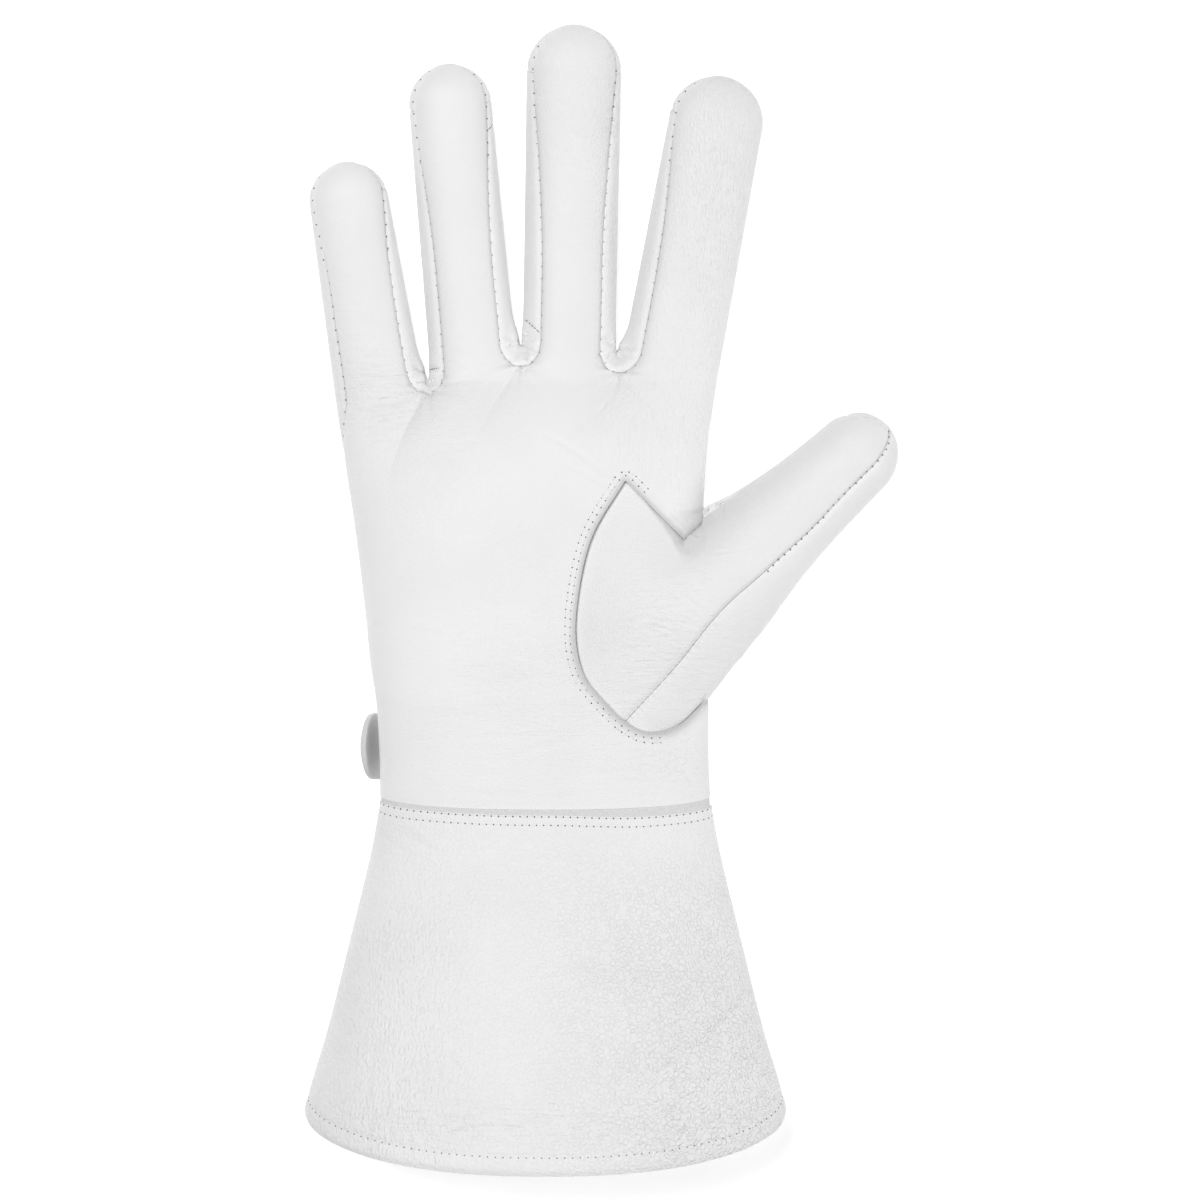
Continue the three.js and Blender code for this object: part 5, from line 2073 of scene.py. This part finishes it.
@dataclass
class Cuff:
    """The gauntlet cuff with its turned hem, and the suede strip above it."""

    body: BodyShape
    finishes: Finishes
    cell: float = 0.9
    hem_puff: float = 0.25
    first_row: float = 0.5
    row_gap: float = 2.5
    hem_row: float = 5.6

    def __post_init__(self) -> None:
        """Welds the cuff's surface and folds its leather."""
        self.skin = Skin()
        length = SIZES.cuff_length - SIZES.seam_strip
        t = np.linspace(0, 1, int(length / self.cell) + 1)
        rows = lerp(t, t**1.6, 0.35)
        for finger, side in self.body.ring():
            q = self._columns(side)
            middle = (q[1:] + q[:-1]) / 2
            on_back = {
                Side.PALM: middle < 0,
                Side.OUTER: middle > 0.5,
                Side.BACK: middle > 0,
                Side.INNER: middle < 0.5,
            }[side]
            grid = self.body.band(finger, side, q, self.body.hem_edge, self._top, rows)
            self.skin.patch(grid, on_back[:, None].astype(int))
        self.skin.weld()
        self._fold()

    def _columns(self, side: Side) -> np.ndarray:
        """Spaces the columns below a finger's side, an even number of them.

        Args:
            side: Side of the finger that they run into.

        Returns:
            Shares of the way over the side.
        """
        arc = 27.0 * 1.25 if side in (Side.PALM, Side.BACK) else 26.0
        count = 2 * int(arc / self.cell / 2)
        return np.linspace(0, 1, count + 1)

    def _top(self, turn: np.ndarray) -> np.ndarray:
        """Returns the cuff's upper edge, which shows more of the strip by the thumb."""
        across, _ = rounded(turn, SIZES.hand_squareness)
        shown = 1.2 + 0.4 * smoothstep(across, -1, 0) + smoothstep(across, 0, 0.6)
        return self.body.wrist_edge(turn) - shown

    def _below_top(self, points: np.ndarray) -> tuple[np.ndarray, np.ndarray]:
        """Finds where points are between the cuff's two edges.

        Args:
            points: Points of the cuff.

        Returns:
            Distances below the upper edge and above the hem.
        """
        centre, half_width, _, middle = self.body.section(points[:, 1])
        turn = turn_across((points[:, 0] - centre) / half_width, SIZES.hand_squareness)
        return self._top(turn) - points[:, 1], points[:, 1] - self.body.hem_edge(turn)

    def _fold(self) -> None:
        """Presses in the stitch rows, puffs up the hem and adds the creases."""
        points, normals = self.skin.points, self.skin.normals()
        below, above = self._below_top(points)
        rows = (self.first_row, self.first_row + self.row_gap)
        height = -sum(0.2 * bell(below - row, 0.45) for row in rows)
        height = height - 0.2 * bell(above - self.hem_row, 0.6)
        height = height + self.hem_puff * bell(above - 2.6, 2.2) - 0.7 * bell(above, 0.9)
        creases = crease_height(points[:, :2], CUFF_CREASES, CUFF_SINGLES)
        height = height + creases * smoothstep(normals[:, 2], 0.0, 0.5) * smoothstep(above, 5, 9)
        waves = 0.09 * soft_waves(points, 9, 0.07, 6)
        height = height + waves * smoothstep(below, 4, 14) * np.abs(normals[:, 2])
        height *= smoothstep(points[:, 2], 0.0, 1.5) * 0.85 + 0.15
        self.skin.points = points + normals * height[:, None]
        self.normals = self.skin.normals()

    def build(self) -> None:
        """Makes the strip and both panels of the cuff, and sews them."""
        _, above = self._below_top(self.skin.points)
        fold = SIZES.hem_fold * (1 - smoothstep(above, SIZES.hem_width, SIZES.hem_width + 0.8))
        thickness = SIZES.cuff_leather + fold
        for number, name in enumerate(("cuff_front", "cuff_back")):
            points, faces = self.skin.wall(number, self.normals, thickness, SIZES.seam_gap / 3)
            piece = place_mesh(f"{name}_leather", points, faces)
            x, y, _ = mesh_points(piece).T
            paint(
                piece,
                grain=0.35 + 0.65 * smoothstep(x, -20, 45) * smoothstep(-y, 0, 40),
                grain_long=0.6 * smoothstep(-x, 0, 55) * smoothstep(-y, 4, 45),
                creased_across=0.12 + 0.5 * bell(y + 94, 8),
                creased_along=0.1 + 0.4 * smoothstep(-x, 5, 50) * smoothstep(-y, 12, 40),
                creased_askew=0.75 * smoothstep(x, 0, 50) * smoothstep(-y, 40, 80),
            )
            dress(piece, self.finishes.cuff, "cuff_leather", name)
        self._strip()
        self._sew()

    def _strip(self) -> None:
        """Makes the suede strip as a ring, a little lower than the leather beside it."""
        skin = Skin()
        for finger, side in self.body.ring():
            q = self._columns(side)
            grid = self.body.band(finger, side, q, lambda turn: self._top(turn) - 0.5,
                                  lambda turn: self.body.wrist_edge(turn) + 0.5, np.linspace(0, 1, 6))
            skin.patch(grid, 0)
        skin.weld()
        normals = skin.normals()
        skin.points = skin.points - normals * 0.3
        thickness = np.full(len(skin.points), 0.8)
        points, faces = skin.wall(0, normals, thickness, 0.0)
        piece = place_mesh("wrist_seam_suede", points, faces)
        dress(piece, self.finishes.suede, "seam_suede", "wrist_seam_strip")

    def _sew(self) -> None:
        """Stitches the two rows below the wrist and the row along the hem."""
        turn = np.linspace(0, 360, 900)
        wrist_rows = []
        for place in (self.first_row, self.first_row + self.row_gap):
            line = self.body.point(turn, self._top(turn) - place)
            wrist_rows.append(lay_on(self.skin.points, self.normals, line))
        stitching = Stitching(2.14, 0.52, 1.35, 0.4, 0.1)
        stitching.build("wrist_rows", wrist_rows, self.finishes, "cuff_leather")
        line = self.body.point(turn, self.body.hem_edge(turn) + self.hem_row)
        hem = [lay_on(self.skin.points, self.normals, line)]
        Stitching(2.3, 0.46).build("hem_row", hem, self.finishes, "cuff_leather")


# The strap


@dataclass
class WristStrap:
    """The strap across the back of the wrist, whose free end stands beside the hand."""

    body: BodyShape
    finishes: Finishes
    end_radius: float = 9.6
    end_height: float = 17.5
    stand_off: float = 5.4
    sewn_end: float = 36.0

    def path(self, count: int) -> np.ndarray:
        """Finds the strap's middle line, as x and z.

        Formula: a smooth curve through the points where the strap lies on the table,
        turns up and stands free, with even steps.

        Args:
            count: Number of points.

        Returns:
            Points, with x and z on the last axis.
        """
        low = SIZES.snap_height + SIZES.seam_gap + SIZES.strap_thickness / 2
        _, half_width, _, _ = self.body.section(np.array(SIZES.strap_centre))
        half = float(half_width)
        knots = np.array([
            [self.sewn_end, low],
            [0.0, low],
            [-SIZES.snap_inset - SIZES.snap_radius, low],
            [-half * 0.86, low + 0.8],
            [-half - 1.0, low + 4.5],
            [-half - self.stand_off, self.end_height],
        ])
        at = run_along(knots)
        table = Table(("at", "x", "z"), tuple(map(tuple, np.column_stack((at, knots)))))
        fine = np.linspace(0, at[-1], 400)
        curve = np.stack((table.read("x", fine), table.read("z", fine)), axis=-1)
        return resample(curve, at[-1] / (count - 1))

    def build(self) -> None:
        """Makes the strap and its snap."""
        sides = 28
        line = self.path(150)
        rows = len(line)
        run = run_along(line)
        past = np.clip((run - run[-1] + self.end_radius) / self.end_radius, 0, 1)
        half = SIZES.strap_width / 2 * np.sqrt(np.clip(1 - (0.985 * past) ** 2, 0, 1))
        along = unit(np.gradient(line, axis=0))
        out = np.stack((along[:, 1], -along[:, 0]), axis=-1)
        turn = np.linspace(0, 360, sides + 1)
        across, up = rounded(turn, 5.0)
        thick = SIZES.strap_thickness / 2 * (1 - 0.25 * past**4)
        grid = np.zeros((sides + 1, rows, 3))
        grid[..., 0] = line[None, :, 0] + up[:, None] * (thick * out[:, 0])[None, :]
        grid[..., 2] = line[None, :, 1] + up[:, None] * (thick * out[:, 1])[None, :]
        grid[..., 1] = SIZES.strap_centre + across[:, None] * half[None, :]
        skin = Skin()
        skin.patch(grid, 0)
        for row in (0, -1):
            middle = np.broadcast_to(grid[:-1, row].mean(0), grid[:, row].shape)
            pair = (middle, grid[:, row]) if row == 0 else (grid[:, row], middle)
            skin.patch(np.stack(pair, axis=1), 0)
        skin.weld()
        points, faces = skin.points, skin.triangles
        a, b, c = (points[faces[:, i]] for i in range(3))
        if np.einsum("ij,ij->i", a, np.cross(b, c)).sum() < 0:
            faces = faces[:, [0, 2, 1]]
        piece = place_mesh("wrist_strap_leather", points, faces, 60.0)
        paint(piece, grain=0.6, creased_across=0.3, creased_along=0.2)
        dress(piece, self.finishes.strap, "strap_leather", "wrist_strap")
        self._snap()

    def _snap(self) -> None:
        """Makes the plain snap as a turned disc with a rounded edge and a dimple."""
        radius, height = SIZES.snap_radius, SIZES.snap_height
        profile = np.array([
            [0.0, height * 0.2], [radius * 0.35, height * 0.2], [radius * 0.45, 0.0], [radius * 0.8, 0.0],
            [radius * 0.95, height * 0.3], [radius, height * 0.7], [radius * 0.98, height], [0.0, height],
        ])
        turn = np.radians(np.linspace(0, 360, 49))
        grid = np.stack((
            profile[None, :, 0] * np.cos(turn)[:, None] - SIZES.snap_inset,
            profile[None, :, 0] * np.sin(turn)[:, None] + SIZES.strap_centre,
            np.broadcast_to(profile[None, :, 1], (len(turn), len(profile))),
        ), axis=-1)
        skin = Skin()
        skin.patch(grid[::-1], 0)
        skin.weld()
        piece = place_mesh("strap_snap_cap", skin.points, skin.triangles, 40.0)
        dress(piece, self.finishes.snap, "snap", "strap_snap")


# The studio


@dataclass(frozen=True)
class Studio:
    """A pale floor, soft light and a camera straight above the palm."""

    camera_place: tuple[float, float, float] = (-0.0004, -0.0008, 3.015)
    lens: float = 300.0
    floor_half: float = 2.0
    floor_drop: float = 0.0004
    floor_glow: float = 0.42
    sky_light: float = 0.22

    def build(self) -> None:
        """Makes the floor, the lights and the camera."""
        half = self.floor_half
        mesh = bpy.data.meshes.new("floor")
        corners = ((-half, -half), (half, -half), (half, half), (-half, half))
        mesh.from_pydata([(x, y, -self.floor_drop) for x, y in corners], [], [(0, 1, 2, 3)])
        floor = add_object("floor", mesh)
        mesh.materials.append(FinishNodes("floor").finish({
            "Base Color": (0.95, 0.95, 0.95, 1),
            "Roughness": 0.9,
            "Specular IOR Level": 0.1,
            "Emission Color": (1, 1, 1, 1),
            "Emission Strength": self.floor_glow,
        }))
        self._light("key", (-0.5, 0.4, 1.87), 0.8, 24.4)
        self._light("fill", (1.2, -0.5, 1.25), 0.9, 10.0)
        scene = bpy.context.scene
        world = bpy.data.worlds.new("studio")
        world.use_nodes = True
        sky = world.node_tree.nodes["Background"].inputs
        sky["Color"].default_value = (1, 1, 1, 1)
        sky["Strength"].default_value = self.sky_light
        scene.world = world
        scene.view_settings.view_transform = "Standard"
        camera = bpy.data.cameras.new("camera")
        camera.sensor_width = 36.0
        camera.lens = self.lens
        camera.clip_end = 20.0
        holder = add_object("camera", camera)
        holder.location = self.camera_place
        scene.camera = holder

    def _light(self, name: str, place: tuple[float, float, float], size: float, power: float) -> None:
        """Adds one square area light that faces the glove.

        Args:
            name: Name of the light.
            place: Where it stands, in metres.
            size: Length of its sides.
            power: Its power in watts.
        """
        light = bpy.data.lights.new(name, "AREA")
        light.shape, light.size, light.energy = "SQUARE", size, power
        lamp = add_object(name, light)
        lamp.location = place
        lamp.rotation_euler = (-Vector(place)).to_track_quat("-Z", "Y").to_euler()


def frame_shift() -> np.ndarray:
    """Finds how the glove's own plan lies on the CAD frame, in millimetres.

    The cuff is centred on x = 0 in that plan, and the middle finger's tip is the
    furthest point, so the CAD nodes' boxes give both.

    Returns:
        The shift from the glove's plan to the frame.
    """
    cuff_low, cuff_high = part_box("cuff_front")
    _, palm_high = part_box("palm_panel")
    middle = make_fingers()[1]
    tip = middle.root_place[1] + middle.length * middle.direction[1]
    x = (cuff_low.x + cuff_high.x) / 2 / METRES_PER_MM
    y = palm_high.y / METRES_PER_MM - tip
    return np.array([x, y, 0.0])


FRAME_SHIFT = frame_shift()


def main() -> None:
    """Builds the glove piece by piece, and the studio round it."""
    logging.basicConfig(level=logging.INFO, format="%(name)s %(message)s")
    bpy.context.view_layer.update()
    finishes = Finishes()
    body = BodyShape()
    thumb = ThumbShape(body)
    hand = HandPanels(body, thumb, finishes)
    hand.build()
    hand.sew()
    ThumbPanels(thumb, finishes).build()
    Cuff(body, finishes).build()
    WristStrap(body, finishes).build()
    Studio().build()


if __name__ == "__main__":
    main()
